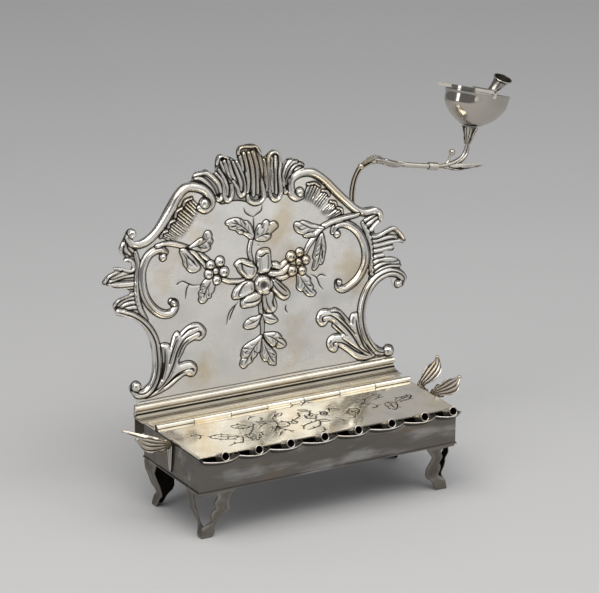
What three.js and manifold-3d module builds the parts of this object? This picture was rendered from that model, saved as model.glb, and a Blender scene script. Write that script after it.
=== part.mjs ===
// Hanukkah lamp in silver: a box of eight oil wells under a hinged lid, with an embossed backplate,
// four openwork feet, two leaf handles and a servant light on a lift-out arm.
// Millimetres. X runs to the viewer's right, Y to the back, Z up; the table top is Z = 0.
import * as THREE from 'three';
import { mergeVertices } from 'three/addons/utils/BufferGeometryUtils.js';
import Module from 'manifold-3d';

const wasm = await Module();
wasm.setup();

// Driving dimensions of the box
const boxWidth = 200;
const boxDepth = 78.7;
const footHeight = 34;
const wallHeight = 23.3;
const wallSheet = 0.8;
const floorSheet = 1;
const floorLip = 0.8;

// Clearances and cut overruns
const seatGap = 0.3;
const runGap = 0.4;
const overrun = 1;
const weld = 0.0001;

// Lid and hinge
const lidSheet = 1;
const lidLift = 0.9;
const hingeFromRear = 16.85;
const hingeAboveLid = 0.8;
const barrelRadius = 2.2;
const boreRadius = 1.2;
const pinRadius = 0.85;
const knuckleCount = 7;
const ledgeSheet = 1;
const barrelSides = 14;

// Oil wells, their spouts and their wick tubes
const wellEdgeShares = [-1.005, -0.728, -0.497, -0.243, 0.03, 0.281, 0.552, 0.804, 1.005];
const wellSideGap = 1.6;
const wellSheet = 0.8;
const wellFromHinge = 2.7;
const spoutRise = 0.5;
const spoutReach = 11.6;
const spoutBow = 5.4;
const spoutDepth = 4.9;
const spoutLevelShares = [
  [0, 1, 1], [0.35, 0.97, 0.9], [0.7, 0.85, 0.68], [0.92, 0.62, 0.42], [1, 0.3, 0.2],
];
const troughSlope = 3;
const spoutPoints = 6;
const wickRadius = 3.2;
const wickBore = 2.5;
const wickLength = 10.6;
const wickRise = 3.8;
const wickSlope = THREE.MathUtils.degToRad(23);
const wickAside = 1;
const wickSides = 14;

// Moulding and backplate
const plateHalfWidth = 100;
const plateBehindBox = 10.8;
const plateLean = THREE.MathUtils.degToRad(9.06);
const plateSheet = 1.4;
const skirtDrop = 22;
const skirtHalfWidth = 101.5;
const mouldingRise = 10.2;
const mouldingHalfWidth = 102.4;
const mouldingSheet = 0.8;
const beadRadius = 2.4;
const beadForward = 1.5;
const beadDrop = 2.1;
const filletForward = 3.2;
const filletHeight = 1.1;
const coveWidth = 4.1;
const coveHeight = 2.5;
const stepWidth = 1;
const flangeLap = 2.8;
const beadAngleShares = [0.5, 0.66, 0.83, 1, 1.17, 1.34];
const coveAngleShares = [0, -0.125, -0.25, -0.375, -0.5];
const braceWidth = 14;
const braceHeight = 11;
const braceSheet = 1;
const braceDrop = 3;
const braceShare = 0.62;

// Feet
const footReach = 29;
const footSideShare = 0.72;
const footSheet = 1.3;
const footInset = 5.4;
const footToeShare = 0.62;

// Handles
const handleStrapHeight = 21;
const handleStrapWidth = 8;
const handleStrapSheet = 1.2;
const handleRib = 0.9;
const leafSheet = 0.9;

// Servant light
const armAcrossShare = 0.811;
const sleeveLowShare = 0.7;
const sleeveLengthShare = 0.32;
const sleeveSheet = 0.9;
const tangWidth = 4.4;
const tangDepth = 2.4;
const tangLengthShare = 0.29;
const shoulderWidth = 7;
const shoulderHeight = 1.6;
const rodRadius = 1.75;
const bowlDroop = THREE.MathUtils.degToRad(15);
const bowlLength = 51.4;
const bowlWidth = 31;
const bowlDepth = 24.6;
const bowlSheet = 0.9;
const calyxHeight = 13;
const calyxRadius = 5.6;
const calyxFootRadius = 1.5;
const coverSheet = 0.9;
const coverHeight = 2.3;
const coverShare = 0.58;
const coverTongue = 9;
const coverPinRadius = 0.7;
const coverLift = 1.9;

// Levels and lines that follow from them
const boxTop = footHeight + floorSheet + wallHeight;
const lidUnder = boxTop + lidLift;
const lidTop = lidUnder + lidSheet;
const wellRim = lidUnder - seatGap;
const boxFront = -boxDepth / 2;
const boxRear = boxDepth / 2;
const hingeY = boxRear - hingeFromRear;
const hingeZ = lidTop + hingeAboveLid;
const hingeClear = barrelRadius + runGap;
const wellBack = hingeY - wellFromHinge;
const plateFootY = boxRear + plateBehindBox;
const plateFootZ = boxTop + mouldingRise;
const armAcross = armAcrossShare * plateHalfWidth;
const sleeveLow = sleeveLowShare * plateHalfWidth;
const sleeveLength = sleeveLengthShare * plateHalfWidth;
const tangLength = tangLengthShare * plateHalfWidth;

// Silver finishes
const silver = finish(0xb9b6ae, 0.34);
const brightSilver = finish(0xd2cdbf, 0.24);
const dullSilver = finish(0x9b958c, 0.46);
const darkSilver = finish(0x827c72, 0.5);

function finish(color, roughness) {
  return new THREE.MeshStandardMaterial({ color, roughness, metalness: 1 });
}

// Solid helpers
function solidOf(geometry) {
  const bare = new THREE.BufferGeometry();
  bare.setAttribute('position', geometry.getAttribute('position').clone());
  if (geometry.index) bare.setIndex(geometry.index.clone());
  const joined = mergeVertices(bare, weld);
  const corners = [];
  for (let i = 0; i < joined.index.count; i += 3) {
    const face = [0, 1, 2].map((k) => joined.index.getX(i + k));
    if (new Set(face).size === 3) corners.push(...face);
  }
  return new wasm.Manifold(new wasm.Mesh({
    numProp: 3,
    vertProperties: Float32Array.from(joined.getAttribute('position').array),
    triVerts: Uint32Array.from(corners),
  }));
}

function geometryOf(solid) {
  const mesh = solid.getMesh();
  const geometry = new THREE.BufferGeometry();
  const places = Float32Array.from(mesh.vertProperties);
  geometry.setAttribute('position', new THREE.BufferAttribute(places, 3));
  geometry.setIndex(new THREE.BufferAttribute(Uint32Array.from(mesh.triVerts), 1));
  geometry.computeVertexNormals();
  return geometry;
}

function union(parts) {
  return geometryOf(wasm.Manifold.union(parts.map(solidOf)));
}

function cut(body, tools) {
  return geometryOf(solidOf(body).subtract(wasm.Manifold.union(tools.map(solidOf))));
}

function piece(name, geometry, material) {
  const mesh = new THREE.Mesh(geometry, material);
  mesh.name = name;
  return mesh;
}

function box(low, high) {
  const size = high.map((value, k) => value - low[k]);
  const middle = high.map((value, k) => (value + low[k]) / 2);
  return new THREE.BoxGeometry(...size).translate(...middle);
}

// A cylinder along X
function barrel(radius, from, to, sides = barrelSides) {
  return new THREE.CylinderGeometry(radius, radius, to - from, sides)
    .rotateZ(Math.PI / 2)
    .translate((from + to) / 2, hingeY, hingeZ);
}

// A flat outline of [across, up] points, made into a sheet from depth back to depth + thickness
function standingSheet(outline, depth, thickness) {
  const shape = new THREE.Shape(outline.map(([across, up]) => new THREE.Vector2(across, up)));
  return new THREE.ExtrudeGeometry(shape, { depth: thickness, bevelEnabled: false, steps: 1 })
    .rotateX(Math.PI / 2)
    .translate(0, depth + thickness, 0);
}

// A section of [back, up] points, drawn out along X
function longSection(outline, from, to) {
  const shape = new THREE.Shape(outline.map(([back, up]) => new THREE.Vector2(back, up)));
  return new THREE.ExtrudeGeometry(shape, { depth: to - from, bevelEnabled: false, steps: 1 })
    .applyMatrix4(new THREE.Matrix4().set(0, 0, 1, from, 1, 0, 0, 0, 0, 1, 0, 0, 0, 0, 0, 1));
}

// A skin through rings with the same number of points
function ringSkin(rings) {
  const count = rings[0].length;
  const faces = [];
  for (let r = 0; r < rings.length - 1; r += 1) {
    for (let k = 0; k < count; k += 1) {
      const a = r * count + k;
      const b = r * count + ((k + 1) % count);
      faces.push(a, b, b + count, a, b + count, a + count);
    }
  }
  const geometry = new THREE.BufferGeometry().setFromPoints(rings.flat());
  geometry.setIndex(faces);
  return geometry;
}

// The same skin closed with a fan over each end
function loft(rings) {
  const count = rings[0].length;
  const first = [...rings[0], middleOf(rings[0])];
  const final = [...rings[rings.length - 1], middleOf(rings[rings.length - 1])];
  const skin = ringSkin(rings);
  const faces = Array.from(skin.index.array);
  const points = [...rings.flat(), first[count], final[count]];
  const last = (rings.length - 1) * count;
  const ends = [points.length - 2, points.length - 1];
  for (let k = 0; k < count; k += 1) {
    const next = (k + 1) % count;
    faces.push(ends[0], next, k, ends[1], last + k, last + next);
  }
  const geometry = new THREE.BufferGeometry().setFromPoints(points);
  geometry.setIndex(faces);
  return outward(geometry);
}

function middleOf(ring) {
  const sum = ring.reduce((total, point) => total.add(point), new THREE.Vector3());
  return sum.divideScalar(ring.length);
}

// Turns the faces of a closed skin so that they look out
function outward(geometry) {
  const place = geometry.getAttribute('position');
  const faces = Array.from(geometry.index.array);
  const corner = (k) => new THREE.Vector3().fromBufferAttribute(place, faces[k]);
  let volume = 0;
  for (let i = 0; i < faces.length; i += 3) volume += corner(i).dot(corner(i + 1).cross(corner(i + 2)));
  if (volume < 0) {
    for (let i = 0; i < faces.length; i += 3) [faces[i], faces[i + 1]] = [faces[i + 1], faces[i]];
  }
  geometry.setIndex(faces);
  geometry.computeVertexNormals();
  return geometry;
}

// A smooth line through [across, up] points on the plate, sampled in equal steps
function smoothLine(points, steps) {
  const curve = new THREE.SplineCurve(points.map(([across, up]) => new THREE.Vector2(across, up)));
  return curve.getSpacedPoints(steps);
}

function onPlate(shares) {
  return shares.map(([across, up]) => [across * plateHalfWidth, up * plateHalfWidth]);
}

// A raised rib on the plate: a D-shaped section carried along a line of [across, up] points.
// halfWidth and rise are read at each share of the way along.
const ribSectionShares = [[-1, 0], [-0.75, 0.66], [0, 1], [0.75, 0.66], [1, 0]];
function raisedRib(points, halfWidth, rise, steps) {
  const line = smoothLine(points, steps);
  const back = plateSheet / 2;
  const rings = line.map((point, k) => {
    const ahead = line[Math.min(k + 1, steps)].clone().sub(line[Math.max(k - 1, 0)]).normalize();
    const side = new THREE.Vector2(-ahead.y, ahead.x);
    const way = k / steps;
    const half = halfWidth(way);
    const section = ribSectionShares.map(([across, out]) => [across * half, -out * rise(way)]);
    return [...section, [half, back], [-half, back]]
      .map(([across, depth]) => ribPoint(point, side, across, depth));
  });
  return loft(rings);
}

function ribPoint(point, side, across, depth) {
  return new THREE.Vector3(point.x + side.x * across, depth, point.y + side.y * across);
}

// Width rules for ribs, as functions of the share of the way along
const swellShare = 0.8;
const taper = (full, startShare, endShare) => (way) => {
  const rim = Math.sin(Math.PI * Math.min(Math.max(way, 0), 1));
  const end = way < 0.5 ? startShare : endShare;
  return full * (end + (1 - end) * Math.sqrt(rim));
};
const leafSwell = (full, tipShare) => (way) => {
  const belly = Math.sin(Math.PI * way ** swellShare);
  return full * (tipShare + (1 - tipShare) * belly);
};

// A round or flattened bar through points in space, with its own half sizes at each point
function bar(points, halfSizes, steps, sides) {
  const curve = new THREE.CatmullRomCurve3(points, false, 'centripetal');
  const depthAxis = new THREE.Vector3(0, 1, 0);
  const rings = [];
  for (let k = 0; k <= steps; k += 1) {
    const way = k / steps;
    const centre = curve.getPoint(way);
    const side = curve.getTangent(way).cross(depthAxis).normalize();
    const at = Math.min(way * (halfSizes.length - 1), halfSizes.length - 1 - weld);
    const low = Math.floor(at);
    const [before, after] = [halfSizes[low], halfSizes[low + 1]];
    const half = before.map((size, n) => THREE.MathUtils.lerp(size, after[n], at - low));
    rings.push(circleOf(sides).map(([cos, sin]) => centre.clone()
      .addScaledVector(side, cos * half[0])
      .addScaledVector(depthAxis, sin * half[1])));
  }
  return loft(rings);
}

function circleOf(sides) {
  return Array.from({ length: sides }, (_, k) => {
    const angle = (2 * Math.PI * (k + 0.5)) / sides;
    return [Math.cos(angle), Math.sin(angle)];
  });
}

// Oil box: floor sheet with its base lip, and a wall band cut in scallops under the spouts
function boxFloor() {
  const halfWidth = boxWidth / 2 + floorLip;
  const halfDepth = boxDepth / 2 + floorLip;
  return box([-halfWidth, -halfDepth, footHeight], [halfWidth, halfDepth, footHeight + floorSheet]);
}

function boxWalls() {
  const low = footHeight + floorSheet;
  const outer = box([-boxWidth / 2, boxFront, low], [boxWidth / 2, boxRear, boxTop]);
  const inner = box(
    [-boxWidth / 2 + wallSheet, boxFront + wallSheet, low - overrun],
    [boxWidth / 2 - wallSheet, boxRear - wallSheet, boxTop + overrun],
  );
  return cut(outer, [inner, ...wells().map(notch)]);
}

// The opening in the front wall that the neck of one well passes through
function notch({ x, half }) {
  const right = spoutLevelShares.map(([depth, width]) => [
    half * width + seatGap,
    spoutLevel(depth) - 2 * seatGap,
  ]);
  const left = right.map(([across, up]) => [-across, up]).reverse();
  const top = boxTop + overrun;
  return standingSheet(
    [[half + seatGap, top], ...right, ...left, [-half - seatGap, top]],
    boxFront - overrun,
    wallSheet + 2 * overrun,
  ).translate(x, 0, 0);
}

function spoutLevel(depthShare) {
  return wellRim + spoutRise - depthShare * spoutDepth;
}

// The wells fill the box from edge to edge, and their edges are a little uneven
function wells() {
  const edges = wellEdgeShares.map((share) => (share * boxWidth) / 2);
  return edges.slice(1).map((right, k) => {
    const width = right - edges[k];
    return { x: edges[k] + width / 2, half: width / 2 - wellSideGap, spoutHalf: (width - seatGap) / 2 };
  });
}

// One ring of an oil well: the trough behind the wall, the neck through its notch and the bowed spout.
// inset is the sheet for the inner skin, zero for the outer one.
function wellRing(well, up, spoutUp, widthShare, reachShare, inset) {
  const half = well.half - inset;
  const neck = half * widthShare;
  const front = boxFront + wallSheet + seatGap + inset;
  const outside = boxFront - seatGap;
  const right = [[neck, outside, up], [neck, front, up], [half, front, up], [half, wellBack - inset, up]];
  const left = right.map(([across, back, level]) => [-across, back, level]).reverse();
  const bow = Array.from({ length: spoutPoints + 1 }, (_, k) => {
    const across = (2 * k) / spoutPoints - 1;
    const reach = (spoutReach - inset - spoutBow * across * across) * reachShare;
    return [across * (well.spoutHalf - inset) * widthShare, boxFront - Math.max(reach, seatGap), spoutUp];
  });
  return [...left, ...bow, ...right].map((point) => new THREE.Vector3(...point));
}

// A ring of the trough alone, below the spout
function troughRing(well, up, front, inset) {
  const half = well.half - inset;
  const right = [[half, front + inset, up], [half, wellBack - inset, up]];
  const left = right.map(([across, back, level]) => [-across, back, level]).reverse();
  const between = Array.from({ length: spoutPoints + 5 }, (_, k) => {
    const across = (2 * (k + 1)) / (spoutPoints + 6) - 1;
    return [across * half, front + inset, up];
  });
  return [...left, ...between, ...right].map((point) => new THREE.Vector3(...point));
}

function oilWell(well) {
  const skin = (inset) => {
    const spout = spoutLevelShares.map(([depth, width, reach]) => {
      const spoutUp = spoutLevel(depth) + (depth > 0 ? inset : 0);
      return wellRing(well, Math.min(spoutUp, wellRim), spoutUp, width, reach, inset);
    });
    const front = boxFront + wallSheet + seatGap;
    const low = footHeight + floorSheet;
    return [
      ...spout,
      troughRing(well, spoutLevel(1) + inset - seatGap, front, inset),
      troughRing(well, low + inset, front + troughSlope, inset),
    ];
  };
  return loft([...skin(wellSheet).reverse(), ...skin(0)]);
}

function wickTube() {
  const outer = new THREE.CylinderGeometry(wickRadius, wickRadius, wickLength, wickSides);
  const inner = new THREE.CylinderGeometry(wickBore, wickBore, wickLength + overrun, wickSides);
  const mouth = [0, boxFront - spoutReach + seatGap, wellRim + spoutRise + wickRise];
  return cut(outer, [inner])
    .translate(0, wickLength / 2, 0)
    .rotateX(-wickSlope)
    .translate(...mouth);
}

// Lid and ledge, each with rolled knuckles on the one hinge line
function knuckleSpan(k) {
  const pitch = boxWidth / knuckleCount;
  const from = -boxWidth / 2 + k * pitch;
  return [from + seatGap / 2, from + pitch - seatGap / 2];
}

function knuckled(sheet, tongueLow, tongueHigh, towards, isMine) {
  const spans = Array.from({ length: knuckleCount }, (_, k) => k).filter(isMine).map(knuckleSpan);
  const tongues = spans.map(([from, to]) => box(
    [from, Math.min(hingeY, hingeY + towards), tongueLow],
    [to, Math.max(hingeY, hingeY + towards), tongueHigh],
  ));
  const rolls = spans.map(([from, to]) => barrel(barrelRadius, from, to));
  const bore = barrel(boreRadius, -boxWidth / 2 - overrun, boxWidth / 2 + overrun);
  return cut(union([sheet, ...tongues, ...rolls]), [bore]);
}

function lid() {
  const sheet = box([-boxWidth / 2, boxFront, lidUnder], [boxWidth / 2, hingeY - hingeClear, lidTop]);
  return knuckled(sheet, lidUnder, lidTop, -hingeClear - overrun, (k) => k % 2 === 1);
}

function rearLedge() {
  const front = hingeY + hingeClear;
  const sheet = box([-boxWidth / 2, front, boxTop], [boxWidth / 2, boxRear, boxTop + ledgeSheet]);
  return knuckled(sheet, boxTop, boxTop + ledgeSheet, hingeClear + overrun, (k) => k % 2 === 0);
}

function hingePin() {
  return barrel(pinRadius, -boxWidth / 2, boxWidth / 2);
}

// Moulding: one long section with a bead, a fillet and a cove, hollow behind the cove
function moulding() {
  const low = boxTop + ledgeSheet;
  const bead = [plateFootY - beadForward, plateFootZ - beadDrop];
  const filletFront = plateFootY - filletForward;
  const filletTop = bead[1] - beadRadius;
  const coveTop = filletTop - filletHeight;
  const coveFront = filletFront - coveWidth;
  const coveFoot = coveTop - coveHeight;
  const flangeTop = low + mouldingSheet;
  const arc = (centre, across, up, angles) => angles.map((angle) => [
    centre[0] + across * Math.cos(angle * Math.PI),
    centre[1] + up * Math.sin(angle * Math.PI),
  ]);
  return longSection([
    [plateFootY, plateFootZ],
    ...arc(bead, beadRadius, beadRadius, beadAngleShares),
    [filletFront, filletTop],
    ...arc([coveFront, coveTop], coveWidth, coveHeight, coveAngleShares),
    [coveFront - stepWidth, coveFoot],
    [coveFront - stepWidth, flangeTop],
    [boxRear - flangeLap, flangeTop],
    [boxRear - flangeLap, low],
    ...arc([coveFront, coveTop], coveWidth + mouldingSheet, coveTop - low, coveAngleShares).reverse(),
    [plateFootY, coveTop],
  ], -mouldingHalfWidth, mouldingHalfWidth);
}

// Braces: bent straps that hold the backplate's skirt off the box
function brace() {
  const top = boxTop - braceDrop;
  const low = top - braceHeight;
  const outer = box([-braceWidth / 2, boxRear, low], [braceWidth / 2, plateFootY, top]);
  const inner = box(
    [-braceWidth / 2 - overrun, boxRear + braceSheet, low - overrun],
    [braceWidth / 2 + overrun, plateFootY - braceSheet, top - braceSheet],
  );
  return cut(outer, [inner]);
}

// Backplate. Every place on it is a share of the plate's half width, across and up from its foot.
const leftFootScrollShares = [
  [-1.085, 0.64], [-1.03, 0.63], [-0.97, 0.6], [-0.91, 0.55], [-0.86, 0.485], [-0.83, 0.41],
  [-0.825, 0.3], [-0.83, 0.21], [-0.855, 0.13], [-0.9, 0.075], [-0.96, 0.05], [-1.005, 0.07],
  [-1.02, 0.12], [-0.99, 0.135],
];
const leftFlameShares = [
  [-1.105, 0.665], [-1.12, 0.705], [-1.07, 0.747], [-0.99, 0.767], [-0.985, 0.787], [-1.05, 0.813],
  [-1.13, 0.843], [-1.17, 0.85], [-1.185, 0.875], [-1.13, 0.925], [-1.085, 0.94], [-1.095, 0.968],
  [-1.0, 0.945], [-0.965, 0.935], [-0.96, 0.975], [-1.015, 1.0], [-1.005, 1.025], [-1.035, 1.06],
  [-1.03, 1.1], [-0.995, 1.13],
];
const leftShoulderShares = [
  [-0.95, 1.18], [-0.965, 1.14], [-0.93, 1.1], [-0.87, 1.098], [-0.8, 1.125], [-0.74, 1.178],
  [-0.68, 1.24], [-0.62, 1.315], [-0.56, 1.395], [-0.46, 1.43],
];
const leftVoluteShares = [
  [-0.46, 1.43], [-0.38, 1.405], [-0.325, 1.345], [-0.33, 1.28], [-0.375, 1.255], [-0.405, 1.285],
  [-0.38, 1.31],
];
const crestShares = [
  [-0.445, 1.495], [-0.42, 1.52], [-0.34, 1.53], [-0.3, 1.5], [-0.27, 1.5], [-0.265, 1.55],
  [-0.25, 1.6], [-0.22, 1.618], [-0.15, 1.59], [-0.12, 1.57], [-0.09, 1.558], [-0.095, 1.61],
  [-0.075, 1.648], [-0.035, 1.657], [0.03, 1.655], [0.065, 1.638], [0.095, 1.6], [0.1, 1.56],
  [0.13, 1.557], [0.15, 1.573], [0.19, 1.592], [0.23, 1.57], [0.245, 1.54], [0.247, 1.5],
  [0.27, 1.495], [0.31, 1.52], [0.35, 1.505], [0.39, 1.495], [0.42, 1.47], [0.43, 1.45],
];
const rightVoluteShares = [
  [0.42, 1.405], [0.35, 1.38], [0.31, 1.32], [0.31, 1.265], [0.345, 1.235], [0.385, 1.245],
  [0.375, 1.28],
];
const rightShoulderShares = [
  [0.42, 1.405], [0.48, 1.395], [0.54, 1.36], [0.59, 1.315], [0.64, 1.26], [0.69, 1.205],
  [0.74, 1.155], [0.79, 1.105], [0.84, 1.07], [0.89, 1.055], [0.95, 1.06], [0.995, 1.035],
  [1.01, 0.995],
];
const rightFlameShares = [
  [0.985, 0.96], [0.95, 0.935], [0.945, 0.905], [0.97, 0.89], [1.04, 0.91], [1.1, 0.925],
  [1.13, 0.9], [1.165, 0.865], [1.195, 0.805], [1.13, 0.797], [1.09, 0.792], [1.1, 0.765],
  [1.03, 0.757], [1.0, 0.745], [1.03, 0.715], [1.075, 0.71], [1.12, 0.69], [1.15, 0.665],
  [1.15, 0.63],
];
const rightFootScrollShares = [
  [1.11, 0.505], [1.145, 0.51], [1.155, 0.55], [1.11, 0.59], [1.05, 0.6], [0.98, 0.593],
  [0.92, 0.565], [0.866, 0.51], [0.825, 0.435], [0.805, 0.36], [0.805, 0.28], [0.82, 0.19],
  [0.855, 0.115], [0.9, 0.06], [0.95, 0.04], [0.995, 0.045],
];
const leftInnerScrollShares = [
  [-0.725, 1.0], [-0.695, 1.0], [-0.72, 1.03], [-0.77, 1.033], [-0.825, 1.01], [-0.865, 0.96],
  [-0.885, 0.9], [-0.887, 0.83], [-0.875, 0.75], [-0.845, 0.68], [-0.8, 0.625], [-0.75, 0.592],
  [-0.695, 0.587], [-0.657, 0.61], [-0.655, 0.645],
];
const rightInnerScrollShares = [
  [0.65, 0.945], [0.62, 0.955], [0.64, 0.99], [0.69, 1.0], [0.75, 0.98], [0.805, 0.935],
  [0.845, 0.87], [0.867, 0.79], [0.86, 0.71], [0.83, 0.645], [0.78, 0.59], [0.72, 0.555],
  [0.665, 0.54], [0.625, 0.56], [0.622, 0.595],
];
const scrollHalfWidth = 2.9;
const scrollRise = 3.4;
const innerScrollHalfWidth = 2.3;
const innerScrollRise = 2.4;
const ballRadius = 3.4;
const ballShares = [[-0.945, 1.18], [-0.995, 0.13], [1.0, 0.05]];
const outlineSteps = 16;
const scrollSteps = 20;
const voluteSteps = 12;

function plateOutline() {
  const run = (shares, steps) => smoothLine(onPlate(shares), steps).map((point) => [point.x, point.y]);
  const trimmed = (shares, from, to, steps) => run(shares.slice(from, to), steps);
  return [
    [-plateHalfWidth, 0],
    ...trimmed(leftFootScrollShares, 0, -3, outlineSteps).reverse(),
    ...onPlate(leftFlameShares),
    ...trimmed(leftShoulderShares, 1, undefined, outlineSteps),
    ...onPlate(crestShares),
    ...run(rightShoulderShares, outlineSteps),
    ...onPlate(rightFlameShares),
    ...trimmed(rightFootScrollShares, 2, -1, outlineSteps),
    [plateHalfWidth, 0],
  ];
}

function scrolls() {
  const main = taper(scrollHalfWidth, 0.55, 0.55);
  const mainRise = taper(scrollRise, 0.6, 0.6);
  const inner = taper(innerScrollHalfWidth, 0.5, 0.5);
  const innerRise = taper(innerScrollRise, 0.6, 0.6);
  const curl = taper(scrollHalfWidth * 0.8, 0.55, 0.45);
  const large = [leftFootScrollShares, leftShoulderShares, rightShoulderShares, rightFootScrollShares];
  const curls = [leftVoluteShares, rightVoluteShares];
  const small = [leftInnerScrollShares, rightInnerScrollShares];
  return [
    ...large.map((shares) => raisedRib(onPlate(shares), main, mainRise, scrollSteps)),
    ...curls.map((shares) => raisedRib(onPlate(shares), curl, mainRise, voluteSteps)),
    ...small.map((shares) => raisedRib(onPlate(shares), inner, innerRise, scrollSteps)),
  ];
}

function balls(places, radius, segments) {
  return onPlate(places).map(([across, up]) => new THREE.SphereGeometry(radius, segments, segments - 2)
    .translate(across, -radius / 2, up));
}

// Flutes of the crest, from the lower lobe to the tip
const fluteShares = [
  [[-0.255, 1.33], [-0.3, 1.42], [-0.37, 1.49], [-0.42, 1.5]],
  [[-0.19, 1.3], [-0.19, 1.4], [-0.225, 1.5], [-0.215, 1.59]],
  [[-0.08, 1.33], [-0.085, 1.42], [-0.12, 1.5], [-0.13, 1.55]],
  [[0.03, 1.265], [0.01, 1.4], [0, 1.52], [-0.02, 1.62]],
  [[0.12, 1.33], [0.115, 1.4], [0.11, 1.47], [0.115, 1.54]],
  [[0.185, 1.26], [0.17, 1.37], [0.175, 1.47], [0.2, 1.56]],
  [[0.26, 1.31], [0.27, 1.4], [0.32, 1.46], [0.385, 1.47]],
];
const fluteHalfWidths = [4.2, 4.4, 3, 6.4, 2.4, 4.6, 4.2];
const fluteRise = 3.2;
const fluteSteps = 5;
function crestFlutes() {
  return fluteShares.map((shares, k) => raisedRib(
    onPlate(shares),
    taper(fluteHalfWidths[k], 0.7, 0.8),
    taper(fluteRise, 0.8, 0.5),
    fluteSteps,
  ));
}

// Acanthus sprays at the two lower corners
const acanthusShares = [
  [[-0.88, 0.055], [-0.76, 0.13], [-0.68, 0.28], [-0.6, 0.42], [-0.5, 0.45], [-0.475, 0.4]],
  [[-0.86, 0.055], [-0.74, 0.11], [-0.64, 0.19], [-0.56, 0.19]],
  [[-0.78, 0.12], [-0.755, 0.22], [-0.75, 0.31], [-0.76, 0.35]],
  [[0.87, 0.055], [0.76, 0.13], [0.66, 0.29], [0.54, 0.38], [0.475, 0.35]],
  [[0.84, 0.055], [0.74, 0.1], [0.63, 0.18], [0.55, 0.17]],
  [[0.77, 0.12], [0.75, 0.2], [0.74, 0.28], [0.735, 0.32]],
];
const acanthusHalfWidth = 4.6;
const acanthusRise = 2.2;
const acanthusSteps = 8;
function acanthus() {
  return acanthusShares.map((shares) => raisedRib(
    onPlate(shares),
    leafSwell(acanthusHalfWidth, 0.45),
    leafSwell(acanthusRise, 0.5),
    acanthusSteps,
  ));
}

// Flower, berries, stems and leaves in the middle
const flowerShares = [0.03, 0.675];
const bossRadius = 6.2;
const bossRiseShare = 0.6;
const petalShares = [
  [0.06, 0.9], [0.24, 0.79], [0.2, 0.59], [0.09, 0.5], [-0.1, 0.56], [-0.18, 0.65], [-0.14, 0.85],
];
const petalHalfWidth = 4.6;
const petalRise = 2.6;
const berryRadius = 2.4;
const berryRing = 4.6;
const berryShares = [[-0.33, 0.82], [0.33, 0.78]];
const berryCount = 5;
const stemShares = [
  [[-0.78, 1.05], [-0.66, 1.05], [-0.5, 0.99], [-0.38, 0.89]],
  [[0.8, 1.04], [0.66, 1.03], [0.5, 0.97], [0.37, 0.83]],
  [[-0.27, 0.76], [-0.2, 0.735], [-0.1, 0.73]],
  [[0, 1.15], [0.01, 1.02], [-0.05, 0.94], [-0.02, 0.83]],
  [[0.01, 0.6], [0.005, 0.45], [0, 0.3]],
];
const stemHalfWidth = 1.1;
const stemRise = 1.4;
const sprayShares = [
  [[-0.53, 1.02], [-0.45, 1.03], [-0.35, 1.07]],
  [[-0.56, 1.0], [-0.53, 0.93], [-0.47, 0.86]],
  [[0.56, 1.0], [0.45, 1.0], [0.33, 1.05]],
  [[0.51, 0.96], [0.5, 0.85], [0.45, 0.73]],
  [[-0.36, 0.77], [-0.4, 0.7], [-0.44, 0.65]],
  [[0.33, 0.68], [0.36, 0.62], [0.43, 0.55]],
  [[-0.01, 1.02], [-0.1, 1.08], [-0.2, 1.14]],
  [[0.01, 1.02], [0.08, 1.04], [0.17, 1.07]],
  [[0, 0.45], [-0.06, 0.43], [-0.13, 0.41]],
  [[0.01, 0.45], [0.06, 0.43], [0.12, 0.4]],
  [[0, 0.32], [-0.08, 0.25], [-0.16, 0.12]],
  [[0.01, 0.31], [0.04, 0.22], [0.08, 0.12]],
  [[0.01, 0.32], [0.09, 0.29], [0.17, 0.23]],
];
const sprayHalfWidth = 3.8;
const sprayRise = 1.4;
const spraySteps = 4;

function flowerAndBerries() {
  const [across, up] = onPlate([flowerShares])[0];
  const petals = petalShares.map((tip) => raisedRib(
    onPlate([flowerShares, [(flowerShares[0] + tip[0]) / 2, (flowerShares[1] + tip[1]) / 2], tip]),
    leafSwell(petalHalfWidth, 0.3),
    leafSwell(petalRise, 0.4),
    spraySteps,
  ));
  const ring = berryRing / plateHalfWidth;
  const places = [...circleOf(berryCount), [0, 0]];
  const berries = berryShares.flatMap(([middle, level]) => places
    .map(([cos, sin]) => [middle + cos * ring, level + sin * ring]));
  const boss = new THREE.SphereGeometry(bossRadius, 12, 8)
    .scale(1, bossRiseShare, 1)
    .translate(across, plateSheet / 2 - bossRadius * bossRiseShare, up);
  return [...petals, boss, ...balls(berries, berryRadius, 6)];
}

function stemsAndLeaves() {
  const thin = taper(stemHalfWidth, 0.8, 0.8);
  const low = taper(stemRise, 0.8, 0.8);
  return [
    ...stemShares.map((shares) => raisedRib(onPlate(shares), thin, low, spraySteps)),
    ...sprayShares.map((shares) => raisedRib(
      onPlate(shares),
      leafSwell(sprayHalfWidth, 0.25),
      leafSwell(sprayRise, 0.5),
      spraySteps,
    )),
  ];
}

function backplate() {
  const field = standingSheet(plateOutline(), 0, plateSheet);
  const skirt = box([-skirtHalfWidth, 0, -skirtDrop], [skirtHalfWidth, plateSheet, 0]).rotateX(plateLean);
  return union([
    field,
    skirt,
    ...scrolls(),
    ...balls(ballShares, ballRadius, 8),
    ...crestFlutes(),
    ...acanthus(),
    ...flowerAndBerries(),
    ...stemsAndLeaves(),
  ]);
}

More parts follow.
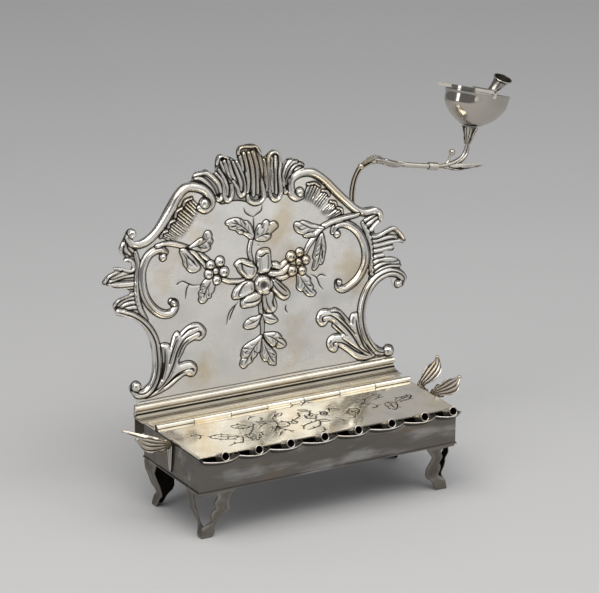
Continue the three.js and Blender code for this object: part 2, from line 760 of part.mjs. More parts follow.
// Feet: a front wing and a side wing round an open corner, and the whole drawn in towards the toe.
// Each point is [share of the reach from the corner, share of the height].
const footWingShares = [
  [0, 1], [1, 1], [0.91, 0.93], [0.83, 0.84], [0.78, 0.73], [0.775, 0.62], [0.77, 0.52],
  [0.65, 0.47], [0.54, 0.4], [0.42, 0.31], [0.35, 0.2], [0.34, 0.1], [0.32, 0.03], [0.27, 0],
  [0, 0], [0, 0.22], [0.27, 0.31], [0.28, 0.45], [0.33, 0.55], [0.43, 0.62], [0.42, 0.72],
  [0.46, 0.82], [0.5, 0.9], [0.42, 0.945], [0, 0.955],
];
const insetShares = [[0, 0.62], [0.12, 0.8], [0.27, 1], [0.4, 0.82], [0.55, 0.38], [0.72, 0.1], [1, 0]];

function footInsetAt(up) {
  const share = THREE.MathUtils.clamp(up / footHeight, 0, 1);
  const next = Math.max(insetShares.findIndex(([at]) => at >= share), 1);
  const [fromUp, from] = insetShares[next - 1];
  const [toUp, to] = insetShares[next];
  return footInset * THREE.MathUtils.lerp(from, to, (share - fromUp) / (toUp - fromUp));
}

function foot(sideX, sideY) {
  const wing = (reach) => footWingShares.map(([along, up]) => [along * reach, up * footHeight]);
  const front = standingSheet(wing(footReach), 0, footSheet);
  const side = standingSheet(wing(footReach * footSideShare), 0, footSheet)
    .applyMatrix4(new THREE.Matrix4().set(0, 1, 0, 0, 1, 0, 0, 0, 0, 0, 1, 0, 0, 0, 0, 1));
  const bracket = wasm.Manifold.union([solidOf(front), solidOf(outward(welded(side)))]).warp((point) => {
    const inset = footInsetAt(point[2]);
    point[0] = sideX * (-boxWidth / 2 + point[0] + inset);
    point[1] = sideY * (boxFront + point[1] + inset);
  });
  return outward(geometryOf(bracket));
}

function welded(geometry) {
  const bare = new THREE.BufferGeometry();
  bare.setAttribute('position', geometry.getAttribute('position').clone());
  if (geometry.index) bare.setIndex(geometry.index.clone());
  return mergeVertices(bare, weld);
}

// Handles: a tapered strap with three ribs on each end wall, and two acanthus leaves springing from it
const strapTipShare = 0.3;
const ribPlaceShares = [-0.6, 0, 0.6];
function handleStrap(side) {
  const top = boxTop - seatGap;
  const low = top - handleStrapHeight;
  const half = handleStrapWidth / 2;
  const tip = half * strapTipShare;
  const wall = boxWidth / 2;
  const plate = standingSheet([[-half, top], [-tip, low], [tip, low], [half, top]], 0, handleStrapSheet);
  const ribs = ribPlaceShares.map((share) => bar(
    [
      new THREE.Vector3(share * half, handleStrapSheet, top),
      new THREE.Vector3(share * tip, handleStrapSheet, low),
    ],
    [[handleRib, handleRib], [handleRib * strapTipShare, handleRib * strapTipShare]],
    1,
    6,
  ));
  const turn = new THREE.Matrix4().set(0, side, 0, side * wall, 1, 0, 0, 0, 0, 0, 1, 0, 0, 0, 0, 1);
  return outward(welded(union([plate, ...ribs]).applyMatrix4(turn)));
}

// A leaf blade in space: its spine as [out, back, up] and its sizes as [half width, camber], in shares
// of its reach, with the directions that its face looks in
const leafRingShares = [[-1, 0], [-0.55, 1], [0, 0.72], [0.55, 1], [1, 0]];
function leafBlade(start, reach, spineShares, widthShares, faces, steps) {
  const spine = new THREE.CatmullRomCurve3(
    spineShares.map((share) => start.clone().addScaledVector(new THREE.Vector3(...share), reach)),
    false,
    'centripetal',
  );
  const widths = new THREE.CatmullRomCurve3(
    widthShares.map(([half, camber]) => new THREE.Vector3(half, camber, 0)),
  );
  const looks = new THREE.CatmullRomCurve3(faces.map((face) => new THREE.Vector3(...face)));
  const rings = [];
  for (let k = 0; k <= steps; k += 1) {
    const way = k / steps;
    const centre = spine.getPoint(way);
    const ahead = spine.getTangent(way);
    const across = ahead.clone().cross(looks.getPoint(way)).normalize();
    const up = across.clone().cross(ahead).normalize();
    const size = widths.getPoint(way);
    const face = (lift) => leafRingShares.map(([side, rise]) => centre.clone()
      .addScaledVector(across, side * size.x * reach)
      .addScaledVector(up, rise * size.y * reach + lift));
    rings.push([...face(leafSheet / 2), ...face(-leafSheet / 2).reverse()]);
  }
  return loft(rings);
}

// Spines as [out, back, up] and sizes as [half width, camber], in shares of the reach
const handleReach = 30;
const leafRootDrop = 0.8;
const leafRootBack = 2.6;
const frontSpineShares = [
  [0, 0, 0], [0.22, 0, 0.03], [0.45, 0.01, 0.06], [0.66, 0.03, 0.12], [0.85, 0.06, 0.23],
];
const frontSizeShares = [[0.06, 0.01], [0.13, 0.03], [0.16, 0.04], [0.13, 0.03], [0.04, 0.01]];
const frontFace = [[0, -0.76, 0.57], [0, -0.76, 0.57], [0, -0.7, 0.6]];
const leftRearSpineShares = [
  [0, 0, 0], [0.2, 0.17, 0.02], [0.4, 0.36, 0.06], [0.58, 0.54, 0.11], [0.74, 0.72, 0.17],
];
const leftRearFace = [[-0.3, 0.11, 0.93], [-0.3, 0.11, 0.93], [-0.3, 0.11, 0.93]];
const rightRearSpineShares = [
  [0, 0, 0], [0.18, 0.15, 0.13], [0.38, 0.38, 0.25], [0.6, 0.58, 0.4], [0.75, 0.74, 0.58],
];
const rightRearFace = [[0.05, -0.64, 0.73], [0.05, -0.64, 0.73], [0, -0.7, 0.6]];
const rearSizeShares = [[0.05, 0.01], [0.12, 0.03], [0.15, 0.03], [0.12, 0.02], [0.04, 0.01]];
const leafSteps = 6;

function handleLeaf(side, spine, sizes, faces, backwards) {
  const start = new THREE.Vector3(
    side * (boxWidth / 2 + handleStrapSheet + handleRib + seatGap),
    backwards * leafRootBack,
    boxTop - leafRootDrop,
  );
  const turned = (list) => list.map(([out, back, up]) => [side * out, back, up]);
  return leafBlade(start, handleReach, turned(spine), sizes, turned(faces), leafSteps);
}

// Servant light, all in the leaning frame of the backplate: across, behind, up
const sleeveHole = [tangWidth + 2 * seatGap, tangDepth + 2 * seatGap];
const armBehind = plateSheet + sleeveSheet + sleeveHole[1] / 2;
const sleeveTop = sleeveLow + sleeveLength;

function sleeve() {
  const half = sleeveHole[0] / 2;
  const outer = box(
    [armAcross - half - sleeveSheet, plateSheet, sleeveLow],
    [armAcross + half + sleeveSheet, plateSheet + 2 * sleeveSheet + sleeveHole[1], sleeveTop],
  );
  const hole = box(
    [armAcross - half, armBehind - sleeveHole[1] / 2, sleeveLow - overrun],
    [armAcross + half, armBehind + sleeveHole[1] / 2, sleeveTop + overrun],
  );
  return cut(outer, [hole]);
}

// The arm's bends, in shares of the plate's half width across and up
const armShares = [
  [0.811, 1.04], [0.807, 1.11], [0.81, 1.18], [0.825, 1.25], [0.85, 1.31], [0.885, 1.355],
  [0.93, 1.38], [0.98, 1.395], [1.03, 1.393], [1.09, 1.378], [1.16, 1.355], [1.24, 1.335],
  [1.33, 1.317], [1.42, 1.3], [1.5, 1.285],
];
const armHalfShares = [
  [1.25, 0.85], [1.25, 0.85], [1.2, 0.85], [1.05, 0.9], [0.95, 0.95], [1.05, 1.1], [1.35, 1.4],
  [1.25, 1.35], [1.1, 1.2], [1.15, 1.2], [1, 1], [1, 1], [1, 1], [1, 1],
];
const armSteps = 30;
const armSides = 8;

function armPoint([across, up]) {
  return new THREE.Vector3(across * plateHalfWidth, armBehind, up * plateHalfWidth);
}

function servantArm() {
  const half = tangWidth / 2;
  const tang = box(
    [armAcross - half, armBehind - tangDepth / 2, sleeveTop - tangLength],
    [armAcross + half, armBehind + tangDepth / 2, sleeveTop + shoulderHeight],
  );
  const shoulder = box(
    [
      armAcross - shoulderWidth / 2,
      armBehind - sleeveHole[1] / 2,
      sleeveTop + seatGap,
    ],
    [
      armAcross + shoulderWidth / 2,
      armBehind + sleeveHole[1] / 2 + sleeveSheet,
      sleeveTop + seatGap + shoulderHeight,
    ],
  );
  const halves = armHalfShares.map(([wide, deep]) => [wide * rodRadius, deep * rodRadius]);
  const shank = bar(
    [new THREE.Vector3(armAcross, armBehind, sleeveTop + shoulderHeight), ...armShares.map(armPoint)],
    halves,
    armSteps,
    armSides,
  );
  return union([tang, shoulder, shank]);
}

// Ferrule on the rod's end, and the cast branch beyond it: two leaves, a bud and the bowl's stem
const ferruleShares = [[1.44, 1.297], [1.512, 1.283]];
const ferruleWall = 0.8;
function ferrule() {
  const ends = ferruleShares.map(armPoint);
  const grow = (extra) => [rodRadius + extra, rodRadius + extra];
  const along = ends[1].clone().sub(ends[0]).normalize().multiplyScalar(overrun);
  const outer = bar(ends, [grow(seatGap + ferruleWall), grow(seatGap + ferruleWall)], 1, armSides * 2);
  const longer = [ends[0].clone().sub(along), ends[1].clone().add(along)];
  return cut(outer, [bar(longer, [grow(seatGap), grow(seatGap)], 1, armSides * 2)]);
}

const branchShares = [
  [1.508, 1.284], [1.58, 1.272], [1.66, 1.28], [1.72, 1.305], [1.755, 1.345], [1.77, 1.4],
];
const branchHalfShares = [[0.75, 0.75], [1.3, 1.8], [1.3, 1.9], [1, 1.1], [0.85, 0.85], [0.8, 0.8]];
const underLeafShares = [[1.56, 1.27], [1.64, 1.258], [1.73, 1.25], [1.805, 1.235]];
const underLeafHalfShares = [[0.9, 1.4], [0.8, 3.4], [0.7, 2.8], [0.35, 0.5]];
const frontLeafShares = [[1.6, 1.27], [1.7, 1.262], [1.8, 1.25], [1.87, 1.245]];
const frontLeafHalfShares = [[0.7, 0.9], [0.7, 1.8], [0.6, 1.6], [0.4, 0.5]];
const budShares = [[1.59, 1.275], [1.63, 1.31], [1.64, 1.345], [1.645, 1.365]];
const budHalfShares = [[0.7, 0.7], [0.45, 0.45], [0.5, 0.5], [0.7, 0.7]];
const budRadius = 2;
const budSides = 8;
const branchSteps = 10;
const frontLeafForward = 3;

function servantBranch() {
  const sized = (shares) => shares.map(([wide, deep]) => [wide * rodRadius, deep * rodRadius]);
  const bud = new THREE.SphereGeometry(budRadius, budSides, budSides)
    .translate(...armPoint(budShares[budShares.length - 1]).toArray());
  const frontLeaf = frontLeafShares.map((share, k) => armPoint(share)
    .add(new THREE.Vector3(0, -frontLeafForward * (k / (frontLeafShares.length - 1)), 0)));
  return union([
    bar(branchShares.map(armPoint), sized(branchHalfShares), branchSteps, armSides),
    bar(underLeafShares.map(armPoint), sized(underLeafHalfShares), branchSteps / 2, armSides),
    bar(frontLeaf, sized(frontLeafHalfShares), branchSteps / 2, armSides),
    bar(budShares.map(armPoint), sized(budHalfShares), branchSteps / 2, budSides),
    bud,
  ]);
}

// Bowl frame: its origin is the foot of the calyx, Z runs up the tilted bowl and X towards the wick
const calyxProfileShares = [[1, 0], [1.1, 0.25], [1.4, 0.5], [2.1, 0.8], [3, 1]];
const calyxSides = 12;
function calyx() {
  const scale = calyxRadius / (calyxProfileShares[calyxProfileShares.length - 1][0] * calyxFootRadius);
  const rim = calyxProfileShares.map(([r, up], k) => {
    const share = k / (calyxProfileShares.length - 1);
    return new THREE.Vector2(r * calyxFootRadius * THREE.MathUtils.lerp(1, scale, share), up * calyxHeight);
  });
  const profile = [new THREE.Vector2(0, 0), ...rim, new THREE.Vector2(0, calyxHeight)];
  return new THREE.LatheGeometry(profile, calyxSides).rotateX(Math.PI / 2);
}

// Bowl levels: [share of the depth from the rim, share of the length, share of the width, forward share]
const bowlLevelShares = [
  [0, 1, 1, 0], [0.2, 0.985, 0.98, 0], [0.43, 0.955, 0.95, -0.01], [0.47, 0.9, 0.89, -0.01],
  [0.66, 0.82, 0.8, -0.015], [0.86, 0.62, 0.6, -0.03], [0.97, 0.4, 0.38, -0.045],
  [1, 0.22, 0.2, -0.05],
];
const bowlSides = 20;
const spoutPinch = 0.28;
const bowlForward = 2.6;

// The bowl's plan: an egg, drawn in towards the wick
function bowlRing(up, lengthShare, widthShare, forwardShare, inset) {
  return circleOf(bowlSides).map(([cos, sin]) => {
    const narrow = 1 - spoutPinch * cos;
    return new THREE.Vector3(
      bowlForward + forwardShare * bowlLength + cos * ((bowlLength / 2) * lengthShare - inset),
      sin * ((bowlWidth / 2) * widthShare * narrow - inset),
      up,
    );
  });
}

function servantBowl() {
  const rim = calyxHeight + seatGap + bowlDepth;
  const skin = (inset) => bowlLevelShares.map(([down, length, width, forward]) => bowlRing(
    rim - down * (bowlDepth - inset),
    length,
    width,
    forward,
    inset,
  ));
  const bowl = loft([...skin(bowlSheet).reverse(), ...skin(0)]);
  return union([bowl, ...coverLugs()]);
}

// Cover line: where the small cover is hinged across the bowl
const coverHingeX = bowlForward + bowlLength * (coverShare - 0.5);
const lugThick = 1.4;
const lugWidth = 3;
const lugSides = 12;
function coverPlace() {
  const rim = calyxHeight + seatGap + bowlDepth;
  const cos = (coverHingeX - bowlForward) / (bowlLength / 2);
  const half = (bowlWidth / 2) * (1 - spoutPinch * cos) * Math.sqrt(1 - cos * cos);
  return { rim, half, hingeUp: rim + coverLift };
}

function coverLugs() {
  const { rim, half, hingeUp } = coverPlace();
  return [-1, 1].map((side) => {
    const near = side * (half - lugThick);
    const far = side * half;
    const post = box(
      [coverHingeX - lugWidth / 2, Math.min(near, far), rim - lugWidth],
      [coverHingeX + lugWidth / 2, Math.max(near, far), hingeUp],
    );
    const eye = new THREE.CylinderGeometry(lugWidth / 2, lugWidth / 2, lugThick, lugSides)
      .translate(coverHingeX, (near + far) / 2, hingeUp);
    return cut(union([post, eye]), [coverBar(coverPinRadius + seatGap, half + overrun)]);
  });
}

function coverBar(radius, half) {
  const { hingeUp } = coverPlace();
  return new THREE.CylinderGeometry(radius, radius, 2 * half, 10).translate(coverHingeX, 0, hingeUp);
}

function coverPin() {
  return coverBar(coverPinRadius, coverPlace().half);
}

function bowlCover() {
  const { rim, half, hingeUp } = coverPlace();
  const low = rim + seatGap;
  const roll = coverPinRadius + seatGap + coverSheet / 2;
  const back = coverHingeX - roll - seatGap;
  const ring = (grow) => {
    const points = circleOf(bowlSides * 2)
      .map(([cos, sin]) => [
        bowlForward + cos * (bowlLength / 2 + grow),
        sin * ((bowlWidth / 2) * (1 - spoutPinch * cos) + grow),
      ])
      .filter(([x]) => x < back - overrun + grow);
    const tongue = [bowlForward - bowlLength / 2 - coverTongue, 0];
    const start = points.findIndex(([, y]) => y < 0);
    if (grow >= 0) points.splice(start, 0, tongue);
    const edge = points[0][1];
    return [[back + grow, edge], ...points, [back + grow, -edge]];
  };
  const hollow = flatSheet(ring(-coverSheet), low - overrun, low + coverHeight - coverSheet);
  const shell = cut(flatSheet(ring(0), low, low + coverHeight), [hollow]);
  const knuckleHalf = half - lugThick - seatGap;
  const roller = coverBar(roll, knuckleHalf);
  const tongueBar = box(
    [back - coverSheet, -knuckleHalf, hingeUp - roll],
    [coverHingeX, knuckleHalf, hingeUp - roll + coverSheet],
  );
  return cut(union([shell, roller, tongueBar]), [coverBar(coverPinRadius + seatGap, half + overrun)]);
}

// A level outline of [x, y] points made into a sheet between two heights
function flatSheet(outline, from, to) {
  const shape = new THREE.Shape(outline.map(([x, y]) => new THREE.Vector2(x, y)));
  return new THREE.ExtrudeGeometry(shape, { depth: to - from, bevelEnabled: false, steps: 1 })
    .translate(0, 0, from);
}

// Servant wick tube: a pipe from the floor of the bowl, out over the spout to a flared mouth.
// Each row is [along, in front, up] in shares of the rise, then the radius share and the turn share.
const servantTubeRise = 11;
const servantTubeMouth = 6.5;
const servantTubeWall = 0.8;
const servantTubeShare = 0.19;
const servantTubeTurn = THREE.MathUtils.degToRad(24);
const servantTubeSides = 16;
const servantTubeShares = [
  [-1.55, 0, -2.14, 0.45, 0], [0, 0, 0, 0.5, 0], [0.3, 0.03, 0.3, 0.52, 0.25],
  [0.55, 0.07, 0.62, 0.62, 0.6], [0.7, 0.1, 0.86, 0.84, 0.9], [0.76, 0.11, 1, 1, 1],
];
function servantWickTube() {
  const { rim } = coverPlace();
  const foot = new THREE.Vector3(bowlForward + bowlLength * servantTubeShare, 0, rim + servantTubeWall);
  const skin = (inset) => servantTubeShares.map(([along, front, up, radius, turn]) => {
    const tilt = new THREE.Matrix4().makeRotationX(turn * servantTubeTurn);
    const centre = foot.clone().add(new THREE.Vector3(along, -front, up).multiplyScalar(servantTubeRise));
    return circleOf(servantTubeSides).map(([cos, sin]) => new THREE.Vector3(cos, sin, 0)
      .multiplyScalar(servantTubeMouth * radius - inset)
      .applyMatrix4(tilt)
      .add(centre));
  });
  return tube(skin(0), skin(servantTubeWall));
}

// A closed pipe wall between an outer and an inner skin
function tube(outer, inner) {
  const rings = [...outer, ...inner.slice().reverse(), outer[0]];
  return outward(welded(ringSkin(rings)));
}

// Assembly
const stand = new THREE.Group();

stand.add(piece('oil_box_walls', boxWalls(), dullSilver));
stand.add(piece('oil_box_floor', boxFloor(), dullSilver));
stand.add(piece('rear_ledge', rearLedge(), brightSilver));
stand.add(piece('hinge_pin', hingePin(), dullSilver));
stand.add(piece('lid', lid(), brightSilver));
stand.add(piece('moulding', moulding(), brightSilver));

wells().forEach((well, k) => {
  const trough = piece(`oil_well_${k + 1}`, oilWell(well), darkSilver);
  const tube = piece(`wick_tube_${k + 1}`, wickTube(), silver);
  trough.position.x = well.x;
  tube.position.x = well.x + wickAside;
  stand.add(trough, tube);
});

for (const [name, side] of [['left', -1], ['right', 1]]) {
  const strut = piece(`rear_brace_${name}`, brace(), dullSilver);
  strut.position.x = side * braceShare * (boxWidth / 2);
  stand.add(strut);
  stand.add(piece(`foot_front_${name}`, foot(-side, 1), dullSilver));
  stand.add(piece(`foot_rear_${name}`, foot(-side, -1), dullSilver));
  stand.add(piece(`handle_strap_${name}`, handleStrap(side), dullSilver));
  const leaf = handleLeaf(side, frontSpineShares, frontSizeShares, frontFace, -1);
  stand.add(piece(`handle_front_leaf_${name}`, leaf, silver));
}
const leftRear = handleLeaf(-1, leftRearSpineShares, rearSizeShares, leftRearFace, 1);
const rightRear = handleLeaf(1, rightRearSpineShares, rearSizeShares, rightRearFace, 1);
stand.add(piece('handle_rear_leaf_left', leftRear, silver));
stand.add(piece('handle_rear_leaf_right', rightRear, silver));

const leaning = new THREE.Group();
leaning.position.set(0, plateFootY, plateFootZ);
leaning.rotation.x = -plateLean;
leaning.add(piece('backplate', backplate(), silver));
leaning.add(piece('servant_sleeve', sleeve(), dullSilver));
leaning.add(piece('servant_arm', servantArm(), silver));
leaning.add(piece('servant_ferrule', ferrule(), brightSilver));
leaning.add(piece('servant_branch', servantBranch(), silver));
stand.add(leaning);

const bowlGroup = new THREE.Group();
bowlGroup.position.copy(armPoint(branchShares[branchShares.length - 1]));
bowlGroup.position.addScaledVector(new THREE.Vector3(Math.sin(bowlDroop), 0, Math.cos(bowlDroop)), seatGap);
bowlGroup.rotation.y = bowlDroop;
bowlGroup.add(piece('servant_calyx', calyx(), silver));
bowlGroup.add(piece('servant_bowl', servantBowl(), silver));
bowlGroup.add(piece('servant_cover', bowlCover(), brightSilver));
bowlGroup.add(piece('servant_cover_pin', coverPin(), dullSilver));
bowlGroup.add(piece('servant_wick_tube', servantWickTube(), silver));
leaning.add(bowlGroup);

// The origin is the middle of the whole lamp's footprint, on the table top
const middle = new THREE.Box3().setFromObject(stand, true).getCenter(new THREE.Vector3());
const lamp = new THREE.Group();
stand.position.set(-middle.x, -middle.y, 0);
lamp.add(stand);

export default lamp;
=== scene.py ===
import math

import bmesh
import bpy
import numpy as np
from mathutils import Matrix, Vector, geometry, kdtree


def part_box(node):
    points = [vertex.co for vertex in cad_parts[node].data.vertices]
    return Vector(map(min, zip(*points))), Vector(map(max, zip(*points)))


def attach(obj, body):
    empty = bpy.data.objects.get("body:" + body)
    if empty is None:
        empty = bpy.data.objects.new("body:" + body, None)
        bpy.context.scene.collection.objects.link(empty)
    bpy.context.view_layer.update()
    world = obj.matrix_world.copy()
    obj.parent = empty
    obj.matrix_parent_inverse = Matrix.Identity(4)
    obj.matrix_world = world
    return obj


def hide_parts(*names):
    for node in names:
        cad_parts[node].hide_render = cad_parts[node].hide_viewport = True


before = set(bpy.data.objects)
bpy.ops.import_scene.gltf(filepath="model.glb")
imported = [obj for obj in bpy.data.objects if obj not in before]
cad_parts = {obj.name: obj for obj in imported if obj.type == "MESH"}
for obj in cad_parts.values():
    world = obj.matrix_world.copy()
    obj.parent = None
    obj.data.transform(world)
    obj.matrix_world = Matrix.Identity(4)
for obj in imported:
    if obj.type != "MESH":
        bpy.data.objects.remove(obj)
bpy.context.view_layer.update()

# Driving sizes and places
BOX_WIDTH = 200
PLATE_LEAN = math.radians(9.06)
SKIRT_DROP = 22
box_low, box_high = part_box("oil_box_walls")
unit = (box_high.x - box_low.x) / BOX_WIDTH
home = np.array([(box_low.x + box_high.x) / 2, (box_low.y + box_high.y) / 2, 0])
box_front = (box_low.y - home[1]) / unit
box_rear = (box_high.y - home[1]) / unit
box_side = (box_high.x - home[0]) / unit
pin_low, pin_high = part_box("hinge_pin")
hinge_back = ((pin_low.y + pin_high.y) / 2 - home[1]) / unit
hinge_up = (pin_low.z + pin_high.z) / 2 / unit
plate_foot_back = (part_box("rear_brace_left")[1].y - home[1]) / unit
plate_foot_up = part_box("backplate")[0].z / unit + SKIRT_DROP
plate_back = np.array([0, math.cos(PLATE_LEAN), -math.sin(PLATE_LEAN)])
plate_up = np.array([0, math.sin(PLATE_LEAN), math.cos(PLATE_LEAN)])


def on_lamp(points):
    """Points across, back and up from the middle of the box on the table, in space."""
    return home + unit * np.asarray(points, float)


def leaning(points):
    """Points across, behind and up from the foot of the leaning backplate, in space."""
    points = np.asarray(points, float)
    across, behind, up = points[..., :1], points[..., 1:2], points[..., 2:]
    foot = np.array([0, plate_foot_back, plate_foot_up])
    return on_lamp(foot + across * [1, 0, 0] + behind * plate_back + up * plate_up)


# Paths and distances
LEAST_LENGTH = 1e-9
SWELL_POWER = 0.7


def smooth(points, per_span=6, closed=False):
    """A Catmull-Rom curve through the points."""
    points = np.asarray(points, float)
    if closed:
        padded = np.vstack([points[-1], points, points[:2]])
    else:
        padded = np.vstack([2 * points[0] - points[1], points, 2 * points[-1] - points[-2]])
    share = np.linspace(0, 1, per_span, endpoint=False)[:, None]
    spans = []
    for before, start, end, after in zip(padded, padded[1:], padded[2:], padded[3:]):
        spans.append(0.5 * (
            2 * start
            + (end - before) * share
            + (2 * before - 5 * start + 4 * end - after) * share ** 2
            + (3 * start - before - 3 * end + after) * share ** 3
        ))
    return np.vstack(spans if closed else spans + [points[-1:]])


def even(path, step, closed=False):
    """The same path with evenly spaced points."""
    if closed:
        path = looped(path)
    run = np.concatenate([[0], np.cumsum(np.linalg.norm(np.diff(path, axis=0), axis=1))])
    count = max(int(round(run[-1] / step)), 2)
    places = np.linspace(0, run[-1], count + 1)
    spaced = np.stack([np.interp(places, run, path[:, k]) for k in range(path.shape[1])], 1)
    return spaced[:-1] if closed else spaced


def looped(path):
    """A closed outline with its first point once more at the end."""
    return np.vstack([path, path[:1]])


def near(path, spots):
    """Distance to a path, the share of its length at the nearest point, and the signed side."""
    start, run = path[:-1], np.diff(path, axis=0)
    gap = spots[..., None, :] - start
    share = np.clip((gap * run).sum(-1) / (run ** 2).sum(-1), 0, 1)
    off = gap - share[..., None] * run
    square = (off ** 2).sum(-1)
    nearest = square.argmin(-1)[..., None]

    def pick(values):
        return np.take_along_axis(values, nearest, -1)[..., 0]

    distance = np.sqrt(pick(square))
    along = (nearest[..., 0] + pick(share)) / len(run)
    turn = run[:, 0] * gap[..., 1] - run[:, 1] * gap[..., 0]
    return distance, along, distance * np.sign(pick(turn))


def inside(outline, spots):
    """Whether each spot lies inside a closed outline."""
    found = np.zeros(spots.shape[:-1], bool)
    for (x0, y0), (x1, y1) in zip(outline, np.roll(outline, -1, axis=0)):
        if y0 == y1:
            continue
        crosses = (spots[..., 1] < y0) != (spots[..., 1] < y1)
        found ^= crosses & (spots[..., 0] < x0 + (spots[..., 1] - y0) * (x1 - x0) / (y1 - y0))
    return found


def between(loops, spots):
    """Whether each spot lies inside the first loop and outside the others."""
    found = inside(loops[0], spots)
    for hole in loops[1:]:
        found &= ~inside(hole, spots)
    return found


def swell(along, first, last):
    """1 in the middle of a stroke, and the given shares at its two ends."""
    ends = np.where(along < 0.5, first, last)
    return ends + (1 - ends) * np.sin(math.pi * np.clip(along, 0, 1)) ** SWELL_POWER


def bell(distance, half):
    return np.exp(-(distance / half) ** 2)


def unit_vectors(vectors):
    return vectors / np.maximum(np.linalg.norm(vectors, axis=-1, keepdims=True), LEAST_LENGTH)


def stroke(root, ahead, way, steps):
    """A short stroke off a line: steps ahead and aside from a root on it, to the given way."""
    aside = way * np.array([-ahead[1], ahead[0]])
    return [root + along * ahead + out * aside for along, out in steps]


# Relief: a height map over a flat sheet, with a map of how dark its hollows and lines are
BELL_REACHES = 3
LINE_HALF = 0.5
LINE_DEPTH = 0.5
RELIEF_MARGIN = 2.5
LAID_OVER_SHARE = 0.1
GROOVE_DARK = 0.85
DISH_DARK = 0.9
DISH_POWER = 4
CREASE_DARK = 0.95
CREASE_END_SHARES = (0.5, 0.4)
DARK_BLUR_CELLS = 0.5
BUSY_SLOPE = 0.035
BUSY_REACH = 0.8
BUSY_DARK_SHARE = 0.5

# Flutes: shares of the half width that each has to itself, and the bulging rim that they start from
FLUTE_POINTS = 9
FLUTE_MARGIN = 1
FLUTE_FADE = 0.35
FLUTE_SHARE = 0.66
FLUTE_LINE_SHARE = 1.3
FLUTE_LINE = 1.3
FLUTE_LEAST = 0.05
FLUTE_BULGE = 1.6
FLUTE_RIM_HALF = 0.75
FLUTE_RIM_SHARE = 1.1
FLUTE_RIM_ENDS = (0.9, 0.9)

# Cuts of the graver: half width, depth, how dark, and the shares of the width at the two ends
TAPERED = (0.3, 0.3)
LEAF_CUT = (0.5, 0.16, 0.95, TAPERED)
MIDRIB_CUT = (0.35, 0.12, 0.8, TAPERED)
HATCH_CUT = (0.35, 0.1, 0.8, TAPERED)
PETAL_CUT = (0.42, 0.16, 0.95, (1, 1))
EYE_CUT = (0.5, 0.2, 0.9, (1, 1))
NOTCH_CUT = (0.34, 0.1, 0.7, TAPERED)
STEM_CUT = (0.5, 0.24, 1, (0.5, 0.4))
SPRIG_CUT = (0.46, 0.14, 1, (0.8, 0.5))
TENDRIL_CUT = (0.52, 0.3, 1, TAPERED)
VEIN_CUT = (0.38, 0.3, 0.82, (0.3, 0.9))
PLATE_FOOT_CUT = (0.45, 0.1, 0.75, (1, 1))

# Engraved leaf: places as shares of its length and of its half width
LEAF_EDGE_SHARES = [(0, 0), (0.4, 1), (0.75, 0.62), (1, 0)]
LEAF_MIDRIB_SHARES = [(0, 0), (0.35, 0.12), (0.72, 0)]
LEAF_HATCH_SHARES = [[(at, 0), (at + 0.16, 0.6)] for at in (0.2, 0.36, 0.52)]

# Engraved flower: shares of its radius
FLOWER_POINTS = 6
FLOWER_FLAT_SHARE = 0.8
FLOWER_WAIST_SHARE = 0.55
FLOWER_EYE_SHARE = 0.24
FLOWER_NOTCH_SHARES = (0.3, 0.5)

# Engraved sprig: the stroke that stands off its stem to one side and the other
SPRIG_EVERY = 4.4
SPRIG_STROKE = [(0, 0), (1.6, 0.48), (2.4, 2.4)]


